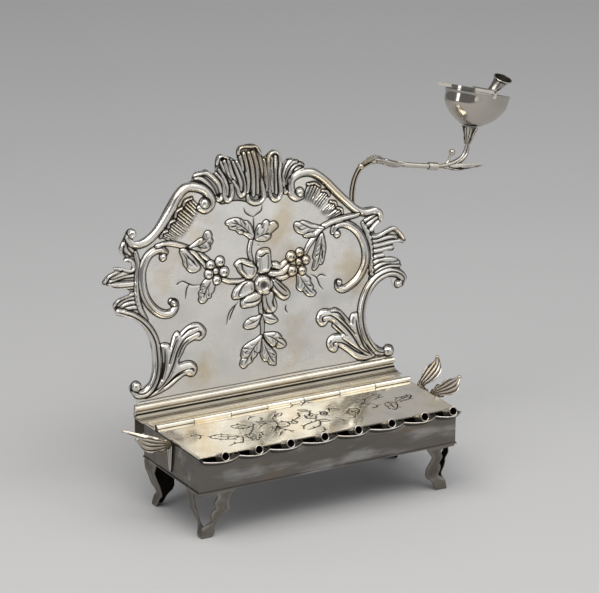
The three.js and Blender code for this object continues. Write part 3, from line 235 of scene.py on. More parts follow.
class Relief:
    def __init__(self, low, high, step):
        self.low, self.step = np.array(low, float), step
        counts = np.ceil((np.array(high) - self.low) / step).astype(int) + 1
        across, up = (self.low[k] + step * np.arange(counts[k]) for k in (0, 1))
        self.spots = np.stack(np.meshgrid(across, up), -1)
        self.height = np.zeros(self.spots.shape[:2])
        self.dark = np.zeros(self.spots.shape[:2])

    def window(self, path, margin):
        """The part of the map within a margin of a path."""
        first = np.floor((path.min(0) - margin - self.low) / self.step).astype(int)
        last = np.ceil((path.max(0) + margin - self.low) / self.step).astype(int) + 1
        rows, columns = self.height.shape
        first = np.clip(first, 0, None)
        return slice(first[1], min(last[1], rows)), slice(first[0], min(last[0], columns))

    def shade(self, where, amount):
        self.dark[where] = np.maximum(self.dark[where], amount)

    def lay(self, where, top, beyond, line=1.0):
        """Raises the sheet to top, and cuts a dark line round it, where beyond is the way past its edge."""
        foot = bell(beyond - LINE_HALF, LINE_HALF) * (beyond > 0)
        height, dark = self.height[where], self.dark[where]
        height -= line * LINE_DEPTH * foot
        covered = (top > 0) & (top >= height)
        dark[...] = np.where(covered, dark * LAID_OVER_SHARE, np.maximum(dark, line * foot))
        np.maximum(height, top, out=height)

    def engrave(self, points, half, depth, dark, ends):
        path = smooth(points)
        where = self.window(path, BELL_REACHES * half)
        distance, along, _ = near(path, self.spots[where])
        cut = bell(distance, half * swell(along, *ends))
        self.height[where] -= depth * cut
        self.shade(where, dark * cut)

    def ridge(self, points, half, rise, ends, grooves=(), groove_half=0.13, line=1.0):
        """A rounded rib along the points, with grooves at shares of its half width."""
        path = smooth(points)
        where = self.window(path, half + RELIEF_MARGIN)
        distance, along, side = near(path, self.spots[where])
        size = swell(along, *ends)
        share = distance / (half * size)
        top = rise * size * np.sqrt(np.clip(1 - share ** 2, 0, 1)) * (share < 1)
        self.lay(where, top, distance - half * size, line)
        for place, depth in grooves:
            cut = bell(side / (half * size) - place, groove_half) * (share < 1)
            self.height[where] -= depth * cut
            self.shade(where, GROOVE_DARK * cut)

    def pillow(self, outline, rise, round_over, creases=(), crease_half=0.5, crease_depth=0.5, dark=0.0,
               dish=0.0):
        """A raised shape with rounded edges, a dished middle and creases pressed into it."""
        edge = smooth(outline, per_span=4, closed=True)
        where = self.window(edge, RELIEF_MARGIN)
        spots = self.spots[where]
        distance = near(looped(edge), spots)[0]
        within = inside(edge, spots)
        share = np.clip(distance / round_over, 0, 1)
        dished = dish * share ** DISH_POWER
        top = np.where(within, rise * (np.sqrt(1 - (1 - share) ** 2) - dished), 0)
        self.lay(where, top, np.where(within, -1, distance))
        self.shade(where, np.maximum(dark, DISH_DARK * dished) * within)
        for crease in creases:
            gap, along, _ = near(smooth(crease), spots)
            cut = bell(gap, crease_half * swell(along, *CREASE_END_SHARES)) * within
            self.height[where] -= crease_depth * cut
            self.shade(where, CREASE_DARK * cut)

    def dome(self, centre, radius, rise):
        centre = np.array([centre], float)
        where = self.window(centre, radius + RELIEF_MARGIN)
        distance = np.linalg.norm(self.spots[where] - centre[0], axis=-1)
        top = rise * np.sqrt(np.clip(1 - (distance / radius) ** 2, 0, 1))
        self.lay(where, top, distance - radius)

    def hollow(self, centre, radius, depth, edge=0.12, dark=1.0):
        centre = np.array([centre], float)
        where = self.window(centre, 2 * radius)
        distance = np.linalg.norm(self.spots[where] - centre[0], axis=-1)
        cut = 1 / (1 + np.exp((distance - radius) / (edge * radius)))
        self.height[where] -= depth * cut
        self.shade(where, dark * cut)

    def flutes(self, starts, ends, count, rise):
        """Flutes from one scalloped edge that fade out on the way to the other."""
        starts, ends = np.array(starts, float), np.array(ends, float)
        half = 0.5 * np.linalg.norm(starts[1] - starts[0]) / count
        for share in (np.arange(count) + 0.5) / count:
            first = starts[0] + (starts[1] - starts[0]) * share
            last = ends[0] + (ends[1] - ends[0]) * share
            path = np.linspace(first, last, FLUTE_POINTS)
            where = self.window(path, half + FLUTE_MARGIN)
            distance, along, _ = near(path, self.spots[where])
            strength = (1 - along) ** FLUTE_FADE
            width = FLUTE_SHARE * half * strength
            round_off = 1 - (distance / np.maximum(width, FLUTE_LEAST)) ** 2
            top = rise * strength * np.sqrt(np.clip(round_off, 0, 1))
            beside = distance < FLUTE_LINE_SHARE * half
            self.lay(where, top, distance - width, FLUTE_LINE * strength * beside)
        bulge = unit_vectors((starts - ends).mean(0)) * FLUTE_BULGE
        rim = [starts[0], starts.mean(0) + bulge, starts[1]]
        self.ridge(rim, FLUTE_RIM_HALF, FLUTE_RIM_SHARE * rise, FLUTE_RIM_ENDS)

    def engraved_leaf(self, base, tip, half):
        """A leaf cut in outline, with its midrib and a few hatches on one side."""
        base, tip = np.array(base, float), np.array(tip, float)
        run = tip - base
        side = half * np.array([-run[1], run[0]]) / np.linalg.norm(run)

        def on_leaf(shares, way=1):
            return [base + along * run + aside * way * side for along, aside in shares]

        for way in (-1, 1):
            self.engrave(on_leaf(LEAF_EDGE_SHARES, way), *LEAF_CUT)
        self.engrave(on_leaf(LEAF_MIDRIB_SHARES), *MIDRIB_CUT)
        for shares in LEAF_HATCH_SHARES:
            self.engrave(on_leaf(shares), *HATCH_CUT)

    def engraved_flower(self, centre, radius, petals, turn):
        """A ring of petals, a round eye, and a short cut where two petals meet."""
        centre = np.array(centre, float)
        angle = np.linspace(0, 2 * math.pi, FLOWER_POINTS * petals + 1)
        lobes = np.abs(np.cos(petals * (angle - turn) / 2))
        reach = radius * (FLOWER_WAIST_SHARE + (1 - FLOWER_WAIST_SHARE) * lobes)
        ring = np.stack([np.cos(angle), FLOWER_FLAT_SHARE * np.sin(angle)], 1)
        self.engrave(centre + reach[:, None] * ring, *PETAL_CUT)
        self.engrave(centre + FLOWER_EYE_SHARE * radius * ring, *EYE_CUT)
        for step in range(petals):
            way = turn + 2 * math.pi * (step + 0.5) / petals
            out = np.array([math.cos(way), FLOWER_FLAT_SHARE * math.sin(way)])
            self.engrave([centre + share * radius * out for share in FLOWER_NOTCH_SHARES], *NOTCH_CUT)

    def engraved_sprig(self, points):
        """A stem with short curved strokes off it, to one side and the other."""
        self.engrave(points, *STEM_CUT)
        path = even(smooth(points), SPRIG_EVERY)
        ahead = unit_vectors(np.gradient(path, axis=0))
        for k in range(1, len(path) - 1):
            self.engrave(stroke(path[k], ahead[k], 1 if k % 2 else -1, SPRIG_STROKE), *SPRIG_CUT)

    def soften(self, reach):
        self.height = blurred(self.height, reach / self.step)

    def shade_hollows(self, reach, gain, start):
        """Darkens what lies lower than the sheet around it."""
        low = blurred(self.height, reach / self.step) - self.height - start
        self.dark = np.clip(np.maximum(blurred(self.dark, DARK_BLUR_CELLS), low * gain), 0, 1)

    def busy(self, points):
        """Where the sheet needs fine faces."""
        slopes = [np.hypot(*np.gradient(values, self.step)) for values in (self.height, self.dark)]
        steep = blurred(slopes[0] + BUSY_DARK_SHARE * slopes[1], BUSY_REACH / self.step)
        return self.at(steep, points) > BUSY_SLOPE

    def at(self, values, points):
        """The map's values at points between its spots."""
        place = (points - self.low) / self.step
        rows, columns = values.shape
        column = np.clip(place[:, 0], 0, columns - 1 - LEAST_LENGTH)
        row = np.clip(place[:, 1], 0, rows - 1 - LEAST_LENGTH)
        c, r = column.astype(int), row.astype(int)
        fc, fr = column - c, row - r
        lower = values[r, c] * (1 - fc) + values[r, c + 1] * fc
        upper = values[r + 1, c] * (1 - fc) + values[r + 1, c + 1] * fc
        return lower * (1 - fr) + upper * fr


def padded(values, axis, cells):
    """The values, with the first and last repeated so many cells beyond the two ends of an axis."""
    return np.pad(values, [(cells, cells) if k == axis else (0, 0) for k in (0, 1)], "edge")


def blurred(values, reach):
    """A Gaussian blur, with reach in cells."""
    half = max(int(BELL_REACHES * reach), 1)
    weights = np.exp(-0.5 * (np.arange(-half, half + 1) / reach) ** 2)
    weights /= weights.sum()
    for axis in (0, 1):
        wide, size = padded(values, axis, half), values.shape[axis]
        values = sum(
            weight * np.take(wide, range(k, k + size), axis=axis) for k, weight in enumerate(weights)
        )
    return values


def lowest_round(values, cells):
    """The lowest value within so many cells each way."""
    for axis in (0, 1):
        wide, size = padded(values, axis, cells), values.shape[axis]
        values = np.min([
            np.take(wide, range(k, k + size), axis=axis) for k in range(2 * cells + 1)
        ], axis=0)
    return values


# Forms: corners, faces, and how dark each corner is
ROUNDING_SHARE = 0.3
GROOVE_SHADE = (3, 0.1)
BALL_RINGS = 13
BALL_SIDES = 20
BALL_POLE = 0.02
RIM_CLEAR_SHARE = 0.6
MESH_TOLERANCE = 1e-7
# Backs of sheets: painted shade
SHEET_BACK_SHADE = 0.35

# Least angles between faces, in degrees, at which an edge looks sharp
SHARP = 40
CAST_SHARP = 50
LEAF_SHARP = 60
CHASED_SHARP = 80

# Cast leaves: how far their ribs splay, how sharp, where they fade, and the painted shade between them and
# behind
BLADE_SPLAY = 0.5
BLADE_RIB_POWER = 0.8
BLADE_BITE_POWER = 4
BLADE_FADE_START = 0.15
BLADE_FADE_END = 0.97
BLADE_SHADE = 2.3
BLADE_BACK_SHADE = 0.55


def outward(corners, faces):
    """The faces turned so that they look out of a closed form."""
    volume = 0
    for face in faces:
        first = corners[face[0]]
        for k in range(1, len(face) - 1):
            volume += np.dot(first, np.cross(corners[face[k]], corners[face[k + 1]]))
    return [face[::-1] for face in faces] if volume < 0 else faces


def skin(rings, closed=False, dark=0.0):
    """A form through rings of points, closed round into a loop or with a cap at each end."""
    rings = np.asarray(rings, float)
    count, sides = rings.shape[:2]
    faces = []
    for r in range(count if closed else count - 1):
        here, there = r * sides, (r + 1) % count * sides
        for k in range(sides):
            step = (k + 1) % sides
            faces.append([here + k, here + step, there + step, there + k])
    if not closed:
        faces.append(list(range(sides))[::-1])
        faces.append(list(range((count - 1) * sides, count * sides)))
    corners = rings.reshape(-1, 3)
    shade = np.broadcast_to(np.asarray(dark, float), rings.shape[:2]).reshape(-1)
    return corners, outward(corners, faces), shade


def placed(form, place):
    corners, faces, shade = form
    return place(corners), faces, shade


def angles_round(sides):
    return 2 * math.pi * np.arange(sides) / sides


def ripple(turn):
    """1 at the start of each turn and 0 half way through it."""
    return 0.5 + 0.5 * np.cos(turn)


def turned(profile, sides):
    """Rings round the Z axis, one for each [radius, height]."""
    angle = angles_round(sides)
    ring = np.stack([np.cos(angle), np.sin(angle), 0 * angle], 1)
    return np.stack([radius * ring + [0, 0, height] for radius, height in profile])


def pipe_profile(radius, bore, length, rounding):
    """A pipe's wall with rounded mouths, as radius and height."""
    inset = ROUNDING_SHARE * rounding
    mouth = [
        (bore, 0), (radius - rounding, 0), (radius - inset, inset), (radius, rounding),
        (radius, 2 * rounding),
    ]
    return mouth + [(reach, length - up) for reach, up in mouth[::-1]]


def aimed(points, origin, axis, level=(1, 0, 0)):
    """Points turned so that Z runs along an axis, and moved to an origin."""
    axis = unit_vectors(np.array(axis, float))
    across = unit_vectors(np.array(level, float) - np.dot(level, axis) * axis)
    return points @ np.stack([across, np.cross(axis, across), axis]) + origin


def rod(points, halves, sides, flutes=0, depth=0.0, twist=0.0, per_span=8):
    """A bar along points across, behind and up, with half sizes at each, fluted along its length."""
    path, size = smooth(points, per_span), smooth(halves, per_span)
    ahead = unit_vectors(np.gradient(path, axis=0))
    side = unit_vectors(np.cross(ahead, [0, 1, 0]))
    other = np.cross(side, ahead)
    angle = angles_round(sides)
    along = np.linspace(0, 1, len(path))[:, None]
    groove = depth * ripple(flutes * angle + twist * along)
    reach = 1 - groove
    rings = (
        path[:, None]
        + (size[:, :1] * reach * np.cos(angle))[..., None] * side[:, None]
        + (size[:, 1:] * reach * np.sin(angle))[..., None] * other[:, None]
    )
    gain, start = GROOVE_SHADE
    return skin(rings, dark=np.clip(gain * groove - start, 0, 1) * (depth > 0))


def blade(spine, halves, looks, sheet, camber, lobes, bite, rib, per_span=12, count=33):
    """A leaf along a spine, with half widths and the way it looks at each point. Its ribs splay
    from the root and run out into the scallops of its edges."""
    path, half = smooth(spine, per_span), smooth(np.array(halves)[:, None], per_span)
    ahead = unit_vectors(np.gradient(path, axis=0))
    side = unit_vectors(np.cross(ahead, smooth(looks, per_span)))
    up = np.cross(side, ahead)
    across = np.linspace(-1, 1, count)
    along = np.linspace(0, 1, len(path))[:, None]
    turns = 2 * math.pi * lobes / (1 / BLADE_SPLAY - 1 / (1 + BLADE_SPLAY))
    crest = ripple(turns * np.abs(across) / (BLADE_SPLAY + along)) ** BLADE_RIB_POWER
    scallop = ripple(turns / (BLADE_SPLAY + along))
    width = half * across * (1 - bite * across ** BLADE_BITE_POWER * (1 - scallop) ** 2)
    run = np.clip(BLADE_FADE_START + (1 - BLADE_FADE_START) * along, 0, BLADE_FADE_END)
    fade = np.sqrt(np.sin(math.pi * run))
    height = camber * half * (1 - across ** 2) + rib * crest * fade
    middle = path[:, None] + width[..., None] * side[:, None]
    front, back = (middle + (height + lift)[..., None] * up[:, None] for lift in (sheet / 2, -sheet / 2))
    # Painted shade between the ribs and on the back
    dark = np.clip(1 - BLADE_SHADE * crest, 0, 1) * fade
    rings = np.concatenate([front, back[:, ::-1]], 1)
    return skin(rings, dark=np.concatenate([dark, np.full_like(dark, BLADE_BACK_SHADE)], 1))


def ball(centre, radius, place):
    angle = np.linspace(BALL_POLE, math.pi - BALL_POLE, BALL_RINGS)
    profile = np.column_stack([radius * np.sin(angle), -radius * np.cos(angle)])
    corners, faces, shade = skin(turned(profile, BALL_SIDES))
    return place(corners + centre), faces, shade


def staggered(low, high, step):
    """Points of a triangular grid over a rectangle."""
    rise = step * math.sqrt(3) / 2
    rows = np.arange(low[1] + rise / 2, high[1], rise)
    return np.vstack([
        np.stack([np.arange(low[0] + (k % 2) * step / 2, high[0], step)] * 2, 1) * [1, 0] + [0, up]
        for k, up in enumerate(rows)
    ])


def clear_of(rim, points, reach):
    """The points that lie farther than a reach from every point of a rim."""
    tree = kdtree.KDTree(len(rim))
    for k, (x, y) in enumerate(rim):
        tree.insert((x, y, 0), k)
    tree.balance()
    return points[np.array([tree.find((x, y, 0))[2] > reach for x, y in points], bool)]


def triangulated(loops, step, wide=None, busy=None):
    """Points and triangles of a flat region between closed loops, the first of them the outer one.
    Where busy is given, the points are a fine step apart where it says so, and a wide one elsewhere."""
    rim = np.vstack(loops)
    grid = staggered(rim.min(0), rim.max(0), step)
    if busy is not None:
        calm = staggered(rim.min(0), rim.max(0), wide)
        grid = np.vstack([grid[busy(grid)], calm[~busy(calm)]])
    grid = grid[between(loops, grid)]
    points = np.vstack([rim, clear_of(rim, grid, RIM_CLEAR_SHARE * step)])
    edges, first = [], 0
    for loop in loops:
        ids = np.arange(first, first + len(loop))
        edges += list(zip(ids.tolist(), np.roll(ids, -1).tolist()))
        first += len(loop)
    found = geometry.delaunay_2d_cdt([Vector(p) for p in points], edges, [], 0, MESH_TOLERANCE)
    source = np.array([ids[0] for ids in found[3]])
    faces = source[np.array(found[2])]
    on_rim = (faces < len(rim)).all(1)
    keep = np.ones(len(faces), bool)
    keep[on_rim] = between(loops, points[faces[on_rim]].mean(1))
    return points, faces[keep], edges


def sheet(loops, steps, front, back, place, dark=None, back_shade=SHEET_BACK_SHADE, wide=None, busy=None):
    """A thin form: a finely divided front, a coarser back, and a wall round each loop. The steps are
    those of front and back, front and back give how far each flat point is raised, and place turns
    flat points into space."""
    points, faces, edges = triangulated(loops, steps[0], wide, busy)
    back_points, back_faces, _ = triangulated(loops, steps[1])
    count = len(points)
    corners = np.vstack([place(points, front(points)), place(back_points, back(back_points))])
    wall = np.array(edges)
    walls = np.stack([wall[:, 1], wall[:, 0], wall[:, 0] + count, wall[:, 1] + count], 1)
    flat = np.vstack([faces, back_faces[:, ::-1] + count, walls[:, :3], walls[:, [0, 2, 3]]])
    a, b, c = (corners[flat[:, k]] for k in range(3))
    way = 1 if (a * np.cross(b, c)).sum() > 0 else -1
    polygons = flat[:len(faces) + len(back_faces), ::way].tolist() + walls[:, ::way].tolist()
    # The back is painted in shade
    shade = np.full(len(corners), back_shade)
    shade[:count] = 0 if dark is None else dark(points)
    return corners, polygons, shade


def counterclockwise(loop):
    turn = (loop[:, 0] * np.roll(loop[:, 1], -1) - np.roll(loop[:, 0], -1) * loop[:, 1]).sum()
    return loop if turn > 0 else loop[::-1]


def constant(height):
    """The same height at every point."""
    return lambda points: np.full(len(points), float(height))


def level(up):
    """Places flat points level with the table, raised from a height above it."""
    return lambda points, raised: on_lamp(np.column_stack([points, up + raised]))


def uneven(across, up, lengths, bend, slant, shift):
    """The slow waves of a hammered sheet, from -1 to 1."""
    wide, slow, high = lengths
    return np.sin(across / wide + bend * np.sin(up / slow)) * np.sin(up / high + slant * across + shift)


def piece(name, forms, material, body, nodes, angle=SHARP):
    """Puts forms in the scene as one piece on a body, in place of the nodes it stands for."""
    corners, faces, shades, count = [], [], [], 0
    for form_corners, form_faces, shade in forms:
        corners.append(form_corners)
        faces += [[k + count for k in face] for face in form_faces]
        shades.append(shade)
        count += len(form_corners)
    mesh = bpy.data.meshes.new(name)
    mesh.from_pydata(np.vstack(corners).tolist(), [], faces)
    attribute = mesh.attributes.new("dark", "FLOAT", "POINT")
    attribute.data.foreach_set("value", np.concatenate(shades).astype(np.float32))
    shown(name, mesh, material, body, nodes, angle)


def finished(node, forms, material, body="lamp_body", angle=SHARP):
    """The piece that takes a node's place and its name."""
    piece(node + "_finished", forms, material, body, [node], angle)


def shown(name, mesh, material, body, nodes, angle):
    item = bpy.data.objects.new(name, mesh)
    bpy.context.scene.collection.objects.link(item)
    mesh.materials.clear()
    mesh.materials.append(material)
    mesh.polygons.foreach_set("use_smooth", [True] * len(mesh.polygons))
    mesh.set_sharp_from_angle(angle=math.radians(angle))
    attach(item, body)
    if nodes:
        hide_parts(*nodes)


# Silver: colours, and the spreads of its patches and of its dark attribute, which holds tarnish in hollows
# and painted shade on backs, undersides and insides
WARM = (0.60, 0.49, 0.33)
COOL = (0.58, 0.58, 0.57)
# Near black: the tarnish in hollows and cut lines, and the painted shade on backs, undersides and insides
TARNISH_AND_SHADE = (0.028, 0.024, 0.018)
WARM_SPREAD = (0.5, 0.68)
COOL_SPREAD = (0.5, 0.7)
COOL_SCALE = 1.7
COOL_SHARE = 0.6
ROUGH_SPREAD = (0.35, 0.65)
ROUGH_SCALE = 2.6
TARNISH_AND_SHADE_SPREAD = (0.14, 0.75)
TARNISH_AND_SHADE_ROUGH = 0.5
DENT_HEIGHT = 0.6
GRAIN_HEIGHT = 0.2
GRAIN_SCALE = 900
NOISE_ROUGHNESS = 0.55
PATCH_DETAIL = 4
DENT_DETAIL = 2
GRAIN_DETAIL = 3

# Sockets of a mix node for colours
MIX_FIRST = 6
MIX_SECOND = 7
MIX_RESULT = 2


def silver(name, base, patches, rough, warm=WARM, patch_scale=34, grain=0.06, dents=0.25, dent_scale=90,
           stretch=(1, 1, 1)):
    """Aged silver: warm and cool patches, fine wear and dents, and a near-black colour where the mesh's
    dark attribute says so: tarnish in its hollows, and painted shade on backs, undersides and insides.
    """
    material = bpy.data.materials.new(name)
    material.use_nodes = True
    nodes, links = material.node_tree.nodes, material.node_tree.links
    shader = nodes["Principled BSDF"]
    shader.inputs["Metallic"].default_value = 1
    streaks = nodes.new("ShaderNodeMapping")
    streaks.inputs["Scale"].default_value = stretch
    links.new(nodes.new("ShaderNodeTexCoord").outputs["Object"], streaks.inputs["Vector"])
    place = streaks.outputs["Vector"]

    def noise(scale, detail):
        node = nodes.new("ShaderNodeTexNoise")
        node.inputs["Scale"].default_value = scale
        node.inputs["Detail"].default_value = detail
        node.inputs["Roughness"].default_value = NOISE_ROUGHNESS
        links.new(place, node.inputs["Vector"])
        return node.outputs["Fac"]

    def spread(value, across, to=(0, 1)):
        node = nodes.new("ShaderNodeMapRange")
        node.interpolation_type = "SMOOTHSTEP"
        for socket, number in zip(("From Min", "From Max", "To Min", "To Max"), (*across, *to)):
            node.inputs[socket].default_value = number
        links.new(value, node.inputs["Value"])
        return node.outputs["Result"]

    def mixed(factor, first, second):
        node = nodes.new("ShaderNodeMix")
        node.data_type = "RGBA"
        links.new(factor, node.inputs[0])
        for socket, value in ((node.inputs[MIX_FIRST], first), (node.inputs[MIX_SECOND], second)):
            if isinstance(value, tuple):
                socket.default_value = (*value, 1)
            else:
                links.new(value, socket)
        return node.outputs[MIX_RESULT]

    def bump(height, strength, distance, under=None):
        node = nodes.new("ShaderNodeBump")
        node.inputs["Strength"].default_value = strength
        node.inputs["Distance"].default_value = distance * unit
        links.new(height, node.inputs["Height"])
        if under is not None:
            links.new(under, node.inputs["Normal"])
        return node.outputs["Normal"]

    warmth = spread(noise(patch_scale, PATCH_DETAIL), WARM_SPREAD, (0, patches))
    coolness = spread(noise(patch_scale * COOL_SCALE, PATCH_DETAIL), COOL_SPREAD, (0, COOL_SHARE * patches))
    colour = mixed(coolness, mixed(warmth, base, warm), COOL)
    roughness = spread(noise(patch_scale * ROUGH_SCALE, PATCH_DETAIL), ROUGH_SPREAD, rough)
    # The mesh's dark attribute: tarnish in hollows, and painted shade on backs, undersides and insides
    attribute = nodes.new("ShaderNodeAttribute")
    attribute.attribute_name = "dark"
    hollow = spread(attribute.outputs["Fac"], TARNISH_AND_SHADE_SPREAD)
    rougher = nodes.new("ShaderNodeMath")
    rougher.operation = "MULTIPLY_ADD"
    links.new(hollow, rougher.inputs[0])
    rougher.inputs[1].default_value = TARNISH_AND_SHADE_ROUGH
    links.new(roughness, rougher.inputs[2])
    links.new(mixed(hollow, colour, TARNISH_AND_SHADE), shader.inputs["Base Color"])
    links.new(rougher.outputs[0], shader.inputs["Roughness"])
    dented = bump(noise(dent_scale, DENT_DETAIL), dents, DENT_HEIGHT)
    worn = bump(noise(GRAIN_SCALE, GRAIN_DETAIL), grain, GRAIN_HEIGHT, dented)
    links.new(worn, shader.inputs["Normal"])
    return material


# Silvers: base colour, share of patches, least and most roughness
chased = silver(
    "chased_silver", (0.74, 0.72, 0.67), 0.68, (0.18, 0.28), patch_scale=24, dents=0.12, grain=0.03)
# Moulding: a whiter base that paints in the highlight its bead reflects
moulded_painted_light = silver("moulded_painted_light_silver", (0.88, 0.82, 0.70), 0.45, (0.2, 0.27), dents=0.03, grain=0.02)
# Box walls, floor, pins and sleeve: a dark base that is painted shade, darker than the silver's own colour
plain_painted_shade = silver(
    "plain_silver", (0.165, 0.155, 0.14), 0.7, (0.32, 0.5), warm=(0.2, 0.165, 0.12), patch_scale=40,
    dents=0.18, stretch=(0.35, 1, 1.4))
# Feet: a dark base that is painted shade
foot_painted_shade = silver(
    "foot_painted_shade_silver", (0.2, 0.185, 0.16), 0.4, (0.3, 0.42), warm=(0.26, 0.21, 0.15), dents=0.2, dent_scale=160)
spouted = silver("spouted_silver", (0.74, 0.71, 0.65), 0.4, (0.2, 0.32), dents=0.15)
# Lid, ledge and hinge: a brighter, warmer base that is painted light, for the light the lid reflects
engraved = silver(
    "engraved_painted_light_silver", (0.92, 0.86, 0.73), 0.6, (0.1, 0.16), warm=(0.84, 0.71, 0.49), dents=0.06)
cast = silver("cast_silver", (0.56, 0.53, 0.47), 0.5, (0.2, 0.34), dent_scale=200)
leafed = silver("leaf_silver", (0.5, 0.45, 0.38), 0.5, (0.18, 0.3), dents=0.2, dent_scale=200)
bowled = silver("beaten_silver", (0.5, 0.47, 0.42), 0.45, (0.08, 0.18), dents=0.45, dent_scale=45)
# Rear braces: a near-black base that is painted shade in the gap behind the moulding
shaded = silver("shaded_silver", (0.1, 0.09, 0.075), 0.4, (0.4, 0.5), warm=(0.16, 0.12, 0.08))


# Nodes that keep the shape of the frame get softened edges
WELD_REACH = 1e-6
FLAT_ANGLE = math.radians(0.8)
EDGE_ANGLE = math.radians(32)
EDGE_WIDTH = 0.18
EDGE_SEGMENTS = 2
SLAB_EDGE = 0.15


def dressed(node, body, material, bevel=EDGE_WIDTH):
    """The frame's own shape of a node, with its corners welded and its edges rounded."""
    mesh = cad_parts[node].data.copy()
    form = bmesh.new()
    form.from_mesh(mesh)
    bmesh.ops.remove_doubles(form, verts=form.verts, dist=WELD_REACH)
    bmesh.ops.dissolve_limit(form, angle_limit=FLAT_ANGLE, verts=form.verts, edges=form.edges)
    form.to_mesh(mesh)
    form.free()
    draft = bpy.data.objects.new(node + "_draft", mesh)
    bpy.context.scene.collection.objects.link(draft)
    edge = draft.modifiers.new("edge", "BEVEL")
    edge.width = bevel * unit
    edge.segments = EDGE_SEGMENTS
    edge.limit_method = "ANGLE"
    edge.angle_limit = EDGE_ANGLE
    weigh = draft.modifiers.new("weigh", "WEIGHTED_NORMAL")
    weigh.keep_sharp = True
    mesh.polygons.foreach_set("use_smooth", [True] * len(mesh.polygons))
    graph = bpy.context.evaluated_depsgraph_get()
    final = bpy.data.meshes.new_from_object(draft.evaluated_get(graph))
    bpy.data.objects.remove(draft)
    shown(node + "_finished", final, material, body, [node], CAST_SHARP)


def node_form(node, dark):
    """The frame's own shape of a node, all of it equally dark."""
    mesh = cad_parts[node].data
    corners = np.array([tuple(vertex.co) for vertex in mesh.vertices])
    faces = [list(polygon.vertices) for polygon in mesh.polygons]
    return corners, faces, np.full(len(corners), float(dark))


def slab(low, high):
    """A block with chamfered long edges, from one end across to the other."""
    (x0, y0, z0), (x1, y1, z1) = low, high
    edge = SLAB_EDGE
    section = [
        (y0 + edge, z0), (y1 - edge, z0), (y1, z0 + edge), (y1, z1 - edge),
        (y1 - edge, z1), (y0 + edge, z1), (y0, z1 - edge), (y0, z0 + edge),
    ]
    return skin([[(x, y, z) for y, z in section] for x in (x0, x1)])


def plain_parts():
    for node in ("oil_box_walls", "oil_box_floor", "hinge_pin", "servant_sleeve"):
        dressed(node, "lamp_body", plain_painted_shade)
    # The rear braces get the near-black painted shade
    for side in ("left", "right"):
        dressed(f"rear_brace_{side}", "lamp_body", shaded)


# Hinge: rolled knuckles on the lid and on the ledge behind it
KNUCKLES = 7
LID_KNUCKLES = (1, 3, 5)
LEDGE_KNUCKLES = (0, 2, 4, 6)
BARREL_RADIUS = 2.2
BARREL_BORE = 1.2
BARREL_GAP = 0.15
BARREL_ROUNDING = 0.16
BARREL_SIDES = 32
BARREL_DARK = [0.9, 0.6, 0.2, 0, 0, 0, 0, 0.2, 0.6, 0.9]
TONGUE_SHORT = 1.5
LEAST_EDGE = 0.4
SHEET_BACK_STEP = 6


def knuckle_span(k):
    pitch = 2 * box_side / KNUCKLES
    return -box_side + k * pitch + BARREL_GAP, -box_side + (k + 1) * pitch - BARREL_GAP


def barrel(k):
    start, end = knuckle_span(k)
    profile = pipe_profile(BARREL_RADIUS, BARREL_BORE, end - start, BARREL_ROUNDING)
    form = skin(turned(profile, BARREL_SIDES), True, np.array(BARREL_DARK)[:, None])
    centre = [start, hinge_back, hinge_up]
    return placed(form, lambda points: on_lamp(aimed(points, centre, (1, 0, 0), (0, 1, 0))))


def tongued(outer, inner, knuckles):
    """A sheet's outline from its outer edge to its inner one, which has tongues that reach towards
    the hinge at the given knuckles."""
    reach = hinge_back - math.copysign(TONGUE_SHORT, inner - outer)
    edge = [(-box_side, inner)]
    for k in knuckles:
        start, end = knuckle_span(k)
        edge += [(start, inner), (start, reach), (end, reach), (end, inner)]
    edge += [(box_side, inner), (box_side, outer), (-box_side, outer)]
    following = edge[1:] + edge[:1]
    kept = [point for point, after in zip(edge, following) if math.dist(point, after) > LEAST_EDGE]
    return counterclockwise(np.array(kept))


# Lid: a sheet engraved with flowers and vines
LID_UNDER = 59.2
LID_SHEET = 1.0
LID_BACK = 19.9
LID_MAP_STEP = 0.34
LID_MAP_MARGIN = 1
LID_STEP = 0.42
LID_CALM_STEP = 1.6
LID_RIM_STEP = 0.9
LID_WAVE = 0.05
LID_WAVES = dict(lengths=(14, 19, 9), bend=2, slant=1 / 40, shift=0)
LID_EDGE_WEAR = 0.25
LID_EDGE_HALF = 0.5

